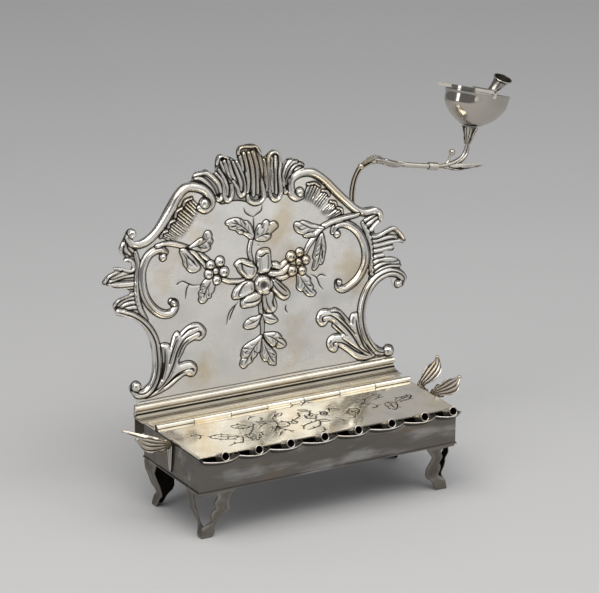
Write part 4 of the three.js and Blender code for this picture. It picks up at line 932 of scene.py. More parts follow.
# Vines, flowers as centre, radius, petals and turn, and leaves as base, tip and half width
LID_VINES = [
    [(-90, -1), (-87, -1), (-83, 1), (-80, 0), (-80, -4), (-83, -8)],
    [(-57, -14), (-61, -10.5), (-66, -7.5), (-70, -6), (-74, -7), (-75, -9), (-72, -13), (-68, -16),
     (-64, -18), (-60, -17.5), (-57, -16), (-57, -14)],
    [(-58, -15), (-64, -13), (-70, -10)],
    [(-57, -16), (-51, -16), (-46, -13), (-42, -8), (-39, -3), (-37, 1)],
    [(-71, -28), (-66, -26), (-60, -26), (-57, -22), (-55, -16)],
    [(-52, -16), (-52, -22), (-51, -27), (-48, -27), (-45, -22)],
    [(-45, -13), (-41, -16), (-41, -21), (-44, -20)], [(-49, -24), (-49, -28)],
    [(-53, 3), (-51, 4), (-47, 3), (-41, 0)], [(-53, 3), (-52, -1), (-47, -4), (-42, -6)],
    [(-37, 8), (-34, 11), (-29, 12)], [(-30, 3), (-26, 7)], [(-38, -9), (-33, -5), (-28, -3)],
    [(-35, -10), (-28, -12), (-23, -9), (-22, -3), (-20, 4), (-16, 7)],
    [(-24, -7), (-18, -6), (-15, -9), (-17, -14)], [(-24, -12), (-20, -15), (-17, -15)],
    [(-16, -8), (-10, -7), (-5, -4), (-2, -2), (-1, 3), (1, 5)],
    [(-33, -20), (-28, -15), (-25, -12), (-25, -17), (-22, -21), (-21, -27)],
    [(-33, -28), (-30, -25), (-26, -20)],
    [(1, -3), (0, -8), (4, -11), (8, -9)], [(3, -5), (6, -2), (8, 2), (7, 6)],
    [(12, -8), (13, -4), (17, -2), (17, -6), (14, -9), (12, -8)],
    [(20, -5), (22, 0), (24, 3)], [(28, 2), (26, 6)],
    [(-12, -25), (-9, -20), (-4, -17), (2, -16), (5, -12)],
    [(-10, -27), (-4, -26), (1, -24), (4, -20), (5, -15)], [(2, -27), (0, -33), (-4, -36)],
    [(25, -20), (29, -22), (33, -18)],
    [(30, -10), (35, -7), (40, -8), (38, -14), (33, -17), (29, -14), (30, -10)],
    [(18, -16), (20, -20), (20, -26)], [(0, 15), (4, 18), (10, 19)], [(8, 14), (14, 19), (18, 16)],
    [(43, -4), (50, 0), (54, 5), (60, 9)], [(58, 1), (63, 3), (68, 3)],
    [(52, -4), (55, -8), (53, -12), (49, -12)],
    [(62, -8), (60, -12), (60, -18), (62, -22), (66, -18), (69, -12), (66, -8), (62, -8)],
    [(62.5, -20), (64, -14), (64.5, -9)],
    [(70, -8), (74, -4), (80, -3), (85, -3), (83, -7), (78, -10), (71, -9)],
    [(72, -8), (78, -6), (83, -4)],
]
LID_FLOWERS = [
    ((-48, -20.5), 5.4, 5, 0.4), ((5, -5), 5, 5, 1.2), ((15, -5.5), 3.4, 4, 0.2), ((34, -12), 4, 5, 0.8),
]
LID_LEAVES = [
    ((-40, -3), (-52, -1), 2.6), ((-29, -4), (-34, 3), 1.8), ((-22, -3), (-30, 2), 2),
    ((-18, 5), (-10, 9), 2.2), ((-25, -14), (-33, -18), 2.2), ((-10, -7), (-12, -14), 2),
    ((8, 3), (2, 9), 2.2), ((22, 0), (28, -5), 2), ((5, -14), (12, -20), 2.4),
    ((45, -3), (52, -4), 1.8), ((54, 5), (48, 9), 2), ((60, 8), (68, 8), 2.2),
]


def lid_relief():
    side = box_side + LID_MAP_MARGIN
    relief = Relief((-side, box_front - LID_MAP_MARGIN), (side, hinge_back), LID_MAP_STEP)
    for points in LID_VINES:
        relief.engraved_sprig(points)
    for flower in LID_FLOWERS:
        relief.engraved_flower(*flower)
    for leaf in LID_LEAVES:
        relief.engraved_leaf(*leaf)
    across, back = relief.spots[..., 0], relief.spots[..., 1]
    relief.height += LID_WAVE * uneven(across, back, **LID_WAVES)
    edge = np.minimum(box_side - np.abs(across), back - box_front)
    relief.height -= LID_EDGE_WEAR * bell(edge, LID_EDGE_HALF)
    return relief


def lid():
    relief = lid_relief()
    form = sheet(
        [even(tongued(box_front, LID_BACK, LID_KNUCKLES), LID_RIM_STEP, closed=True)],
        (LID_STEP, SHEET_BACK_STEP),
        lambda points: LID_SHEET - LID_WAVE + relief.at(relief.height, points),
        constant(0),
        level(LID_UNDER),
        lambda points: relief.at(relief.dark, points),
        wide=LID_CALM_STEP,
        busy=relief.busy,
    )
    forms = [form] + [barrel(k) for k in LID_KNUCKLES]
    piece("engraved_lid", forms, engraved, "lid", ["lid"])


# Ledge behind the lid
LEDGE_UNDER = 58.3
LEDGE_SHEET = 1.0
LEDGE_FRONT = 25.1
LEDGE_RIM_STEP = 1.2
LEDGE_STEP = 2


def ledge():
    form = sheet(
        [even(tongued(box_rear, LEDGE_FRONT, LEDGE_KNUCKLES), LEDGE_RIM_STEP, closed=True)],
        (LEDGE_STEP, SHEET_BACK_STEP), constant(LEDGE_SHEET), constant(0), level(LEDGE_UNDER),
    )
    forms = [form] + [barrel(k) for k in LEDGE_KNUCKLES]
    finished("rear_ledge", forms, engraved)


# Moulding: its section as back, up and how dark, from the plate down to the flange. The dark values are
# painted shade in its creases and cove.
MOULDING_HALF = 102.4
MOULDING_RINGS = 12
BEAD_RADIUS = 2.3
BEAD_CENTRE = (-1.6, -2.25)
BEAD_ANGLES = np.radians(np.linspace(100, 262, 15))
MOULDING_TOP = [(0, 0.3, 0.1), (-0.7, 0.25, 0.1), (-0.9, -0.1, 1), (-1, -0.2, 0.7)]
MOULDING_LOWER = [
    (-2, -4.75, 0.95), (-2.35, -4.8, 0.5), (-2.6, -4.8, 0.1), (-3.1, -4.8, 0), (-3.2, -4.9, 0),
    (-3.2, -5.4, 0.2), (-3.3, -5.7, 0.9), (-3.6, -6.25, 0.95), (-4.1, -6.8, 0.5), (-4.9, -7.4, 0.36),
    (-6.1, -7.9, 0.4), (-6.9, -8.05, 0.7), (-7.3, -8.1, 1), (-7.5, -7.95, 0.3), (-7.8, -7.9, 0.1),
    (-8.2, -7.95, 0.15), (-8.35, -8.1, 0.95), (-8.6, -8.4, 0.55), (-10.5, -8.4, 0.3),
    (-13.4, -8.4, 0.25), (-13.6, -8.55, 0), (-13.6, -9.2, 0.5), (0, -9.2, 0.5),
]


def moulding():
    bead = [
        (BEAD_CENTRE[0] + BEAD_RADIUS * math.cos(angle), BEAD_CENTRE[1] + BEAD_RADIUS * math.sin(angle), 0)
        for angle in BEAD_ANGLES
    ]
    section = np.array(MOULDING_TOP + bead + MOULDING_LOWER)
    rings = np.zeros((MOULDING_RINGS, len(section), 3))
    rings[..., 0] = np.linspace(-MOULDING_HALF, MOULDING_HALF, MOULDING_RINGS)[:, None]
    rings[..., 1] = plate_foot_back + section[:, 0]
    rings[..., 2] = plate_foot_up + section[:, 1]
    form = placed(skin(rings, dark=section[None, :, 2]), on_lamp)
    finished("moulding", [form], moulded_painted_light)


# Oil wells with a bead round each spout, and the wells in painted shade below their bright beads
WELL_EDGES = [-100.5, -72.8, -49.7, -24.3, 3, 28.1, 55.2, 80.4, 100.5]
SPOUT_RIM = 59.4
SPOUT_REACH = 11.4
SPOUT_BOW = 5.4
RIM_HALF = 0.42
WELL_SHADE = 0.62
SPOUT_GAP = 0.15
SPOUT_POINTS = 9

# Wick tubes lying in the spouts: their section as radius, way along and how dark, with painted shade down
# the bore
WICK_MOUTH = (-10.3, 62.7)
WICK_SLOPE = math.radians(23)
WICK_LENGTH = 10.6
WICK_ASIDE = 1.0
WICK_SIDES = 28
WICK_PROFILE = [
    (2.5, 0, 0.9), (2.7, 0.1, 0.5), (2.7, 0.6, 0.3), (2.7, 6.2, 0.3), (2.72, 6.6, 0.4), (2.9, 6.9, 0.1),
    (2.9, 7.5, 0.1), (2.7, 7.8, 0.8), (2.7, 8.5, 0.6), (3.05, 8.8, 0.1), (3.2, 9.2, 0), (3.2, 10.2, 0),
    (3.1, 10.5, 0), (2.85, 10.6, 0.15), (2.6, 10.45, 0.4), (2.5, 10.1, 1), (2.5, 9, 1), (2.5, 0, 1),
]


def spout_bead(left, right):
    """The bead along the bowed rim of a spout."""
    middle, half = (left + right) / 2, (right - left) / 2 - SPOUT_GAP
    across = np.linspace(-1, 1, SPOUT_POINTS)
    front = box_front - SPOUT_REACH + SPOUT_BOW * across ** 2
    path = np.column_stack([middle + half * across, front, np.full(SPOUT_POINTS, SPOUT_RIM)])
    return placed(rod(path, [(RIM_HALF, RIM_HALF)] * SPOUT_POINTS, sides=10, per_span=4), on_lamp)


def wick_tube(middle):
    axis = np.array([0, -math.cos(WICK_SLOPE), math.sin(WICK_SLOPE)])
    mouth = np.array([middle + WICK_ASIDE, box_front + WICK_MOUTH[0], WICK_MOUTH[1]])
    start = mouth - WICK_LENGTH * axis
    profile = np.array(WICK_PROFILE)
    form = skin(turned(profile[:, :2], WICK_SIDES), True, profile[:, 2:])
    return placed(form, lambda points: on_lamp(aimed(points, start, axis)))


def wells():
    for k, (left, right) in enumerate(zip(WELL_EDGES, WELL_EDGES[1:]), 1):
        well = [node_form(f"oil_well_{k}", WELL_SHADE), spout_bead(left, right)]
        finished(f"oil_well_{k}", well, spouted)
        finished(f"wick_tube_{k}", [wick_tube((left + right) / 2)], spouted)


# Feet: a sheet bent round each corner. Wings are the half of an outline on the front of the box.
FOOT_SHEET = 1.3
FOOT_SIDE_SHARE = 0.72
FOOT_BEND = 0.6
FOOT_INSET = [(0, 3.4), (9, 5.3), (18, 2.5), (26, 0.3), (34, 0)]
FOOT_WING = [
    (29, 33.8), (26.5, 31.5), (23.8, 28.5), (22.8, 25), (22.6, 21), (22.5, 17.5), (19, 16), (15.5, 13.5),
    (12.2, 10.5), (10, 7), (10, 3.5), (9.2, 1), (8, 0.1),
]
FOOT_NARROW_WING = [
    (22.5, 33.8), (21, 31), (19, 28.5), (17.4, 26), (17.6, 22), (18.2, 18), (17, 14.5), (15.5, 11.5),
    (13, 9), (10.5, 6.5), (9.4, 3.5), (8.6, 1), (7.6, 0.1),
]
FOOT_NOTCH = [
    (0.3, 7.4), (7.2, 10.5), (7.5, 12), (7.6, 15), (9.3, 19), (12, 21), (11.4, 24.5), (13, 28), (14.3, 30),
    (12, 31.6), (1, 32.2),
]
FOOT_NARROW_NOTCH = [
    (0.3, 8), (4.6, 10.5), (5.4, 12.5), (5.8, 15.5), (7.6, 19), (9.4, 21), (8.8, 24.5), (10, 28),
    (10.8, 30), (9, 31.6), (1, 32.2),
]
FOOT_EYE = [(0.3, 9), (3, 10), (3.2, 12.5), (0.3, 14)]
FEET = [
    ("front_left", -1, -1, FOOT_WING, [FOOT_NOTCH]),
    ("front_right", 1, -1, FOOT_NARROW_WING, [FOOT_NARROW_NOTCH]),
    ("rear_left", -1, 1, FOOT_NARROW_WING, [FOOT_EYE]),
    ("rear_right", 1, 1, FOOT_WING, [FOOT_NOTCH]),
]
FOOT_RIM_STEP = 0.7
FOOT_STEPS = (0.9, 2.5)
FOOT_EDGE_DROP = 0.55
FOOT_EDGE_HALF = 0.8
FOOT_HUMP = 0.25
FOOT_HUMP_UP = 4.1
FOOT_HUMP_ALONG = 6
FOOT_HUMP_FADE = 2
FOOT_INNER_DARK = 0.34
FOOT_INNER_FADE = 1.5
# Inner faces of the feet: painted shade
FOOT_BACK_SHADE = 0.75


def foot_place(side, row):
    """Places points along and up a foot, with the bend at the corner of the box."""
    def place(points, raised):
        along, up = points[:, 0], points[:, 1]
        inset = np.interp(up, *zip(*FOOT_INSET))
        front = np.clip(0.5 + along / FOOT_BEND, 0, 0.5) * 2
        flank = np.clip(0.5 - along / FOOT_BEND, 0, 0.5) * 2
        inward = inset + np.maximum(along, 0) - raised * flank
        deep = inset + np.maximum(-along, 0) * FOOT_SIDE_SHARE - raised * front
        return on_lamp(np.column_stack([side * (box_side - inward), row * (-box_front - deep), up]))
    return place


def foot_loop(half, per_span):
    """A closed outline from the half of it that is on the front wing."""
    curve = smooth(half, per_span)
    return even(np.vstack([curve, curve[::-1] * [-1, 1]]), FOOT_RIM_STEP, closed=True)


def foot(name, side, row, wing, holes):
    rim = counterclockwise(foot_loop(wing, per_span=5))
    loops = [rim] + [foot_loop(hole, per_span=4) for hole in holes]

    def from_edge(points):
        return np.min([near(looped(loop), points)[0] for loop in loops], axis=0)

    def front(points):
        edge = from_edge(points)
        hump = np.sin(points[:, 1] / FOOT_HUMP_UP + np.abs(points[:, 0]) / FOOT_HUMP_ALONG)
        fade = np.clip(edge / FOOT_HUMP_FADE, 0, 1)
        return FOOT_HUMP * hump * fade - FOOT_EDGE_DROP * bell(edge, FOOT_EDGE_HALF)

    # The front is darker away from its edges
    def worn(points):
        return FOOT_INNER_DARK * np.clip((from_edge(points) - FOOT_EDGE_HALF) / FOOT_INNER_FADE, 0, 1)

    place = foot_place(side, row)
    form = sheet(loops, FOOT_STEPS, front, constant(-FOOT_SHEET), place, worn, FOOT_BACK_SHADE)
    finished(f"foot_{name}", [form], foot_painted_shade)


def feet():
    for row in FEET:
        foot(*row)


# Handles: a grooved strap on each end of the box
STRAP_TOP = 58
STRAP_DROP = 21
STRAP_HALF = 4
STRAP_SHEET = 1.2
STRAP_RIB = 0.85
STRAP_RIBS = 3
STRAP_TAPER = 0.7
STRAP_TAPER_POWER = 1.2
STRAP_ROUND_FROM = 0.86
STRAP_ROUND_LEAST = 0.02
STRAP_RIB_POWER = 0.6
STRAP_EDGE_POWER = 8
STRAP_THINNING = 0.3
STRAP_BEHIND = 0.05
STRAP_SHADE = (1.3, 2.2)
STRAP_BACK_SHADE = 0.5
STRAP_RINGS = 25
STRAP_POINTS = 37

# Handle leaves: spines and half widths as shares of their reach, the way they look, lobes and bud radius
LEAF_OUT = 102.4
LEAF_ROOT = (2.6, 57.5)
LEAF_REACH = 30
HANDLE_LEAF = dict(sheet=0.7, camber=0.3, bite=0.3, rib=1.1, per_span=14, count=49)
FRONT_LEAF = dict(
    spine=[(0, 0, 0), (0.2, 0, 0.03), (0.42, 0.01, 0.06), (0.62, 0.02, 0.13), (0.8, 0.05, 0.26)],
    halves=[0.07, 0.16, 0.19, 0.17, 0.05],
    look=(0, -0.76, 0.57), lobes=3, bud=1.5,
)
REAR_LEFT_LEAF = dict(
    spine=[(0, 0, 0), (0.2, 0.17, 0.02), (0.4, 0.36, 0.06), (0.58, 0.54, 0.11), (0.73, 0.71, 0.16)],
    halves=[0.05, 0.13, 0.12, 0.07, 0.03],
    look=(-0.3, 0.11, 0.93), lobes=2.5, bud=0.9,
)
REAR_RIGHT_LEAF = dict(
    spine=[
        (0, 0, 0), (0, 0.2, 0.01), (0.05, 0.35, 0.05), (0.27, 0.42, 0.18), (0.45, 0.45, 0.32),
        (0.54, 0.47, 0.46), (0.57, 0.49, 0.6),
    ],
    halves=[0.05, 0.06, 0.11, 0.17, 0.17, 0.12, 0.05],
    look=(0.05, -0.64, 0.73), lobes=3, bud=1.4,
)


def strap(side):
    """A ribbed strap that narrows downwards to a rounded end."""
    share = np.linspace(0, 1, STRAP_RINGS)
    rounding = np.clip((share - STRAP_ROUND_FROM) / (1 - STRAP_ROUND_FROM), 0, 1)
    narrowing = 1 - STRAP_TAPER * share ** STRAP_TAPER_POWER
    half = STRAP_HALF * narrowing * np.sqrt(np.clip(1 - rounding ** 2, STRAP_ROUND_LEAST, 1))
    across = np.linspace(-1, 1, STRAP_POINTS)
    crest = ripple(STRAP_RIBS * math.pi * across)
    out = STRAP_SHEET + STRAP_RIB * crest ** STRAP_RIB_POWER * (1 - across ** STRAP_EDGE_POWER)
    rings = []
    for down, reach in zip(share, half):
        up = np.full(len(across), STRAP_TOP - STRAP_DROP * down)
        thick = out * (1 - STRAP_THINNING * down)
        outer = np.column_stack([side * (box_side + thick), reach * across, up])
        inner = np.column_stack([np.full(2, side * (box_side + STRAP_BEHIND)), [reach, -reach], up[:2]])
        rings.append(np.vstack([outer, inner]))
    # Painted shade between the ribs and on the back
    start, gain = STRAP_SHADE
    dark = np.append(np.clip(start - gain * crest, 0, 1), [STRAP_BACK_SHADE] * 2)
    form = placed(skin(rings, dark=dark[None]), on_lamp)
    finished("handle_strap_" + ("left" if side < 0 else "right"), [form], cast)


def handle_leaf(side, row, spine, halves, look, lobes, bud):
    root = np.array([side * LEAF_OUT, (-1 if row == "front" else 1) * LEAF_ROOT[0], LEAF_ROOT[1]])
    path = root + LEAF_REACH * np.array(spine) * [side, 1, 1]
    looks = [np.array(look) * [side, 1, 1]] * len(spine)
    leaf = blade(path, LEAF_REACH * np.array(halves), looks, lobes=lobes, **HANDLE_LEAF)
    forms = [placed(leaf, on_lamp), ball(path[-1], bud, on_lamp)]
    node = f"handle_{row}_leaf_" + ("left" if side < 0 else "right")
    finished(node, forms, leafed, angle=LEAF_SHARP)


def handles():
    for side in (-1, 1):
        strap(side)
        handle_leaf(side, "front", **FRONT_LEAF)
    handle_leaf(-1, "rear", **REAR_LEFT_LEAF)
    handle_leaf(1, "rear", **REAR_RIGHT_LEAF)


# Backplate
PLATE_SHEET = 1.1
PLATE_STEPS = (0.52, 2.2)
PLATE_CALM_STEP = 1.5
PLATE_RIM_STEP = 0.8
PLATE_MAP_STEP = 0.4
PLATE_MAP_MARGIN = 2
PLATE_LOWEST = -0.4
PLATE_BACK_CELLS = 4
PLATE_WAVE = 0.14
PLATE_WAVES = dict(lengths=(11, 17, 13), bend=1.3, slant=0, shift=0.6)
PLATE_FOOT_FADE = (3, 0.3)
PLATE_SOFTENING = 0.22
PLATE_HOLLOWS = dict(reach=1.3, gain=0.95, start=0.12)
SKIRT_HALF = 101.5

# Outline from the lower left corner, up, over the crest and down the right side
PLATE_OUTLINE = [
    (-98.5, 0), (-100, 3), (-103, 8), (-104.5, 12), (-102, 15.5), (-98.5, 16.5), (-95.5, 14),
    (-94, 11.3), (-90.5, 12.5), (-88, 15.5), (-86.2, 21), (-85.3, 30), (-86, 40), (-88.2, 48),
    (-93, 55), (-100, 60.5), (-109, 63), (-110.5, 66.5), (-112, 70.5), (-110, 73), (-107, 74.7),
    (-103, 75.7), (-99, 76.7), (-98.5, 78.5), (-101, 80), (-105, 81.3), (-110, 82.5),
    (-113.5, 84.5), (-117, 85), (-118.5, 87.5), (-116, 90.5), (-113, 92.5), (-108.5, 94),
    (-109.5, 96.5), (-105, 96), (-100, 94.3), (-97, 93), (-95.5, 95), (-96, 97.5), (-98.5, 98.5),
    (-101.5, 100), (-100.5, 102), (-103, 104.5), (-104, 107), (-103.5, 110), (-99.5, 116),
    (-97, 120), (-93.5, 121), (-90.5, 118.5), (-90.5, 115.5), (-94, 113.5), (-93, 112), (-89, 112),
    (-84, 113.5), (-79, 116.5), (-74, 121.5), (-69, 128), (-64, 134.5), (-59, 140.5), (-53, 145),
    (-46, 146.5), (-44.5, 149.5), (-42, 152), (-37, 152.3), (-34, 153), (-30, 150), (-27, 150),
    (-26.5, 155), (-25, 160), (-22, 161.8), (-19, 160.3), (-15, 159), (-12, 157), (-9, 155.8),
    (-9.5, 161), (-7.5, 164.8), (-3.5, 165.7), (3, 165.5), (6.5, 163.8), (9.5, 160), (10, 156),
    (13, 155.7), (15, 157.3), (19, 159.2), (23, 157), (24.5, 154), (24.7, 150), (27, 149.5),
    (31, 152), (35, 150.5), (39, 149.5), (42, 147), (43, 145.3), (42, 143), (50, 142), (56, 137.5),
    (62, 132), (67, 126.5), (72, 121), (76.5, 116.5), (81, 112), (86, 109), (90, 108.5),
    (95, 108.5), (98.5, 107), (102, 104), (103, 100), (101, 97.5), (98.5, 95.5), (95.5, 93.5),
    (94.5, 91), (96, 89), (100, 89.5), (104, 91), (110, 92.5), (113, 90), (116.5, 86.5),
    (119, 83), (119.5, 80.5), (117, 79), (113, 80), (109, 79.5), (110, 76.5), (108.5, 75),
    (103, 75.7), (100, 74.5), (103, 71.5), (107.5, 71), (112, 69), (115, 66.5), (115, 63.5),
    (113.5, 61.7), (116.5, 58.5), (118.5, 55), (117.5, 52), (115, 49.5), (111, 47.5), (107.5, 49),
    (106.5, 52), (106, 55), (104, 56.5), (100, 55.7), (95, 53), (90, 48.5), (86.5, 43.5),
    (84, 37), (82.8, 31), (83.5, 24), (85.5, 17.5), (88.5, 12.5), (92.5, 9), (95.5, 7.5),
    (99, 9.5), (103.5, 8), (104.5, 4.5), (103.5, 1), (100, 0),
]

# Centre lines of the scrolls
SHOULDER_LEFT = [
    (-94.5, 118.5), (-96.5, 116), (-95.5, 112.5), (-92.5, 110.3), (-89, 109.8), (-84, 110.8),
    (-79, 113.5), (-73, 118.5), (-68, 124), (-63, 130), (-58, 137), (-52, 142), (-46, 143),
    (-37, 139.5), (-32, 133), (-32.5, 128), (-37, 125.5), (-41, 127.5),
]
SHOULDER_RIGHT = [
    (38.5, 124), (34.5, 123.5), (31, 126.5), (30.5, 131), (31, 136), (36, 139.5), (42, 140.5),
    (48, 139.5), (54, 136), (59, 131.5), (64, 126), (69, 120.5), (74, 115.5), (79, 110.5),
    (84, 107), (89, 105.5), (95, 106), (98, 105), (100.3, 102.5), (100.8, 99.5),
]
FOOT_LEFT = [
    (-108.5, 65.5), (-103, 63.3), (-97, 60.3), (-91, 55.3), (-86, 48.5), (-83, 41), (-82.4, 33),
    (-82.6, 25), (-84.4, 17), (-88, 10.5), (-92.5, 7), (-97, 6.5), (-100.5, 8.5), (-101.5, 11),
]
FOOT_RIGHT = [
    (98, 5), (94, 4.5), (89.5, 6.8), (85.3, 12), (81.8, 19), (80, 28), (80.4, 36), (82.5, 43.5),
    (86.8, 51), (92.5, 56.5), (98.5, 59.3), (105, 60.2), (111, 58.5), (115, 54.8), (113.5, 50.5),
]
INNER_LEFT = [
    (-69.5, 101), (-72.5, 103), (-77, 103.3), (-82, 101), (-86, 96), (-88.5, 90), (-89, 83),
    (-88, 75), (-85, 68), (-80.5, 62.5), (-75, 59), (-69.5, 58.5), (-65.8, 61), (-65.2, 65),
    (-68, 66.5),
]
INNER_RIGHT = [
    (61.8, 95.5), (64, 99), (69, 100), (75, 98), (80.5, 93.5), (84.5, 87), (86.5, 79), (86, 71),
    (83, 64.5), (78, 59), (72, 55.5), (66.5, 54), (62.7, 56), (62.3, 59.5),
]

# Scrolls: centre line, half width, rise, shares at the ends, grooves as place and depth, their half width
SCROLLS = [
    (SHOULDER_LEFT, 3.2, 3.6, (0.66, 0.62)),
    (SHOULDER_RIGHT, 2.9, 3.3, (0.66, 0.66)),
    (FOOT_LEFT, 3.1, 3.2, (0.75, 0.6), [(-0.1, 1.3)], 0.24),
    (FOOT_RIGHT, 3.1, 3.2, (0.6, 0.75), [(0.1, 1.3)], 0.24),
    (INNER_LEFT, 2.7, 2.7, (0.7, 0.7), [(-0.5, 0.6)], 0.15),
    (INNER_RIGHT, 2.6, 2.6, (0.7, 0.7), [(0.5, 0.6)], 0.15),
]

# Balls at the ends of the scrolls: across, up, radius and rise
BALLS = [
    (-93.8, 117.6, 3.3, 3.8), (-37.3, 130.2, 3.4, 3.6), (37.3, 127, 2.9, 3.4), (-99.6, 12.4, 3.3, 3.6),
    (99.6, 4.6, 3.7, 3.8), (111, 50.8, 2.5, 3), (-71.6, 97.8, 2.4, 2.6), (64.8, 93.3, 2.3, 2.6),
    (-66.6, 65.2, 2, 2.6), (63.6, 59.2, 2, 2.4),
]

# Flames beyond the scrolls at the two sides: centre line, half width and rise, over dark hollows
FLAME_HOLLOWS = [
    [(-92, 70), (-98, 74), (-108, 72), (-100, 66)],
    [(-92, 92), (-100, 88), (-110, 85), (-104, 82), (-96, 81), (-92, 84)],
    [(-92, 102), (-97, 104), (-101, 110), (-97, 114), (-93, 108)],
    [(88, 62), (98, 68), (110, 69), (104, 64), (94, 60)],
    [(88, 74), (97, 76), (110, 79), (104, 86), (94, 90), (89, 86)],
    [(88, 93), (94, 98), (99, 103), (93, 102), (88, 99)],
]
FLAMES_LEFT = [
    ([(-91, 66), (-97, 67.3), (-103, 67), (-109.5, 65.3)], 1.3, 1.6),
    ([(-92, 69.5), (-98, 70.5), (-103, 70), (-108.5, 68)], 1.1, 1.4),
    ([(-93, 73), (-99, 73.8), (-104, 73), (-108, 70.3)], 1.1, 1.8),
    ([(-94, 76), (-99, 76.3), (-105, 75.3), (-109.5, 72.8), (-111.5, 70)], 1.2, 2.2),
    ([(-94, 80.5), (-98, 81.5), (-103, 81.8), (-109, 83)], 1.2, 1.7),
    ([(-94, 83), (-99, 83.7), (-105, 84.3), (-110, 84.8), (-114, 85.3)], 1.3, 2.2),
    ([(-95, 88.8), (-101, 89.5), (-107, 89), (-113, 87.3)], 1.2, 1.7),
    ([(-95.5, 91.5), (-101, 92), (-107, 91.3), (-112, 89.8)], 1.2, 2),
    ([(-104, 94.3), (-110, 93), (-114.5, 91), (-117, 87.5)], 1.3, 2.6),
    ([(-101.5, 99.7), (-98, 100.3), (-95.2, 98.5), (-94.3, 95.5), (-95, 92.8), (-99, 93), (-104, 94.8),
      (-109, 95.8)], 1, 2.2),
    ([(-93.5, 105), (-96.3, 108.5), (-97, 112.5)], 1, 1.5),
    ([(-96, 103.5), (-99, 106.5), (-100, 110.5), (-98.5, 115)], 1.1, 2),
    ([(-101, 102.5), (-103.3, 105.5), (-102.8, 109.5), (-101, 112)], 1.1, 2.2),
    ([(-92, 104), (-91, 95), (-92.5, 85), (-93.5, 76), (-92, 66), (-88, 57)], 1.5, 1.5),
]
FLAMES_RIGHT = [
    ([(89, 58), (96, 62.5), (105, 64.5), (113, 63.5)], 1.4, 2),
    ([(89, 62), (97, 66.5), (105, 67.5), (112.5, 66)], 1.2, 1.8),
    ([(89, 66.5), (97, 70), (105, 69.5), (111, 68.5)], 1.2, 1.6),
    ([(89, 71), (95, 73), (101, 73.3), (107.5, 75.8)], 1.2, 1.9),
    ([(89, 76.5), (97, 76.8), (104, 77.3), (109, 77.5)], 1.2, 1.6),
    ([(90, 80), (98, 80.7), (106, 81.3), (113, 81.5), (118, 80.5)], 1.3, 2.1),
    ([(90, 83.5), (98, 84.3), (106, 85), (112, 84)], 1.2, 1.7),
    ([(90, 87), (97, 87.3), (104, 89.8), (110, 91), (114, 88), (118, 82.5)], 1.5, 2.8),
    ([(88, 91.5), (92, 92), (95, 95), (100, 98.3)], 1.2, 2),
    ([(88, 95), (91, 97), (95, 99.7), (100, 101)], 1.2, 1.7),
    ([(87, 99), (91, 101), (95, 102.8), (98.5, 103.5)], 1.2, 1.9),
    ([(90.5, 60), (90, 70), (90.5, 80), (89, 90), (85.5, 98)], 1.3, 1.3),
]

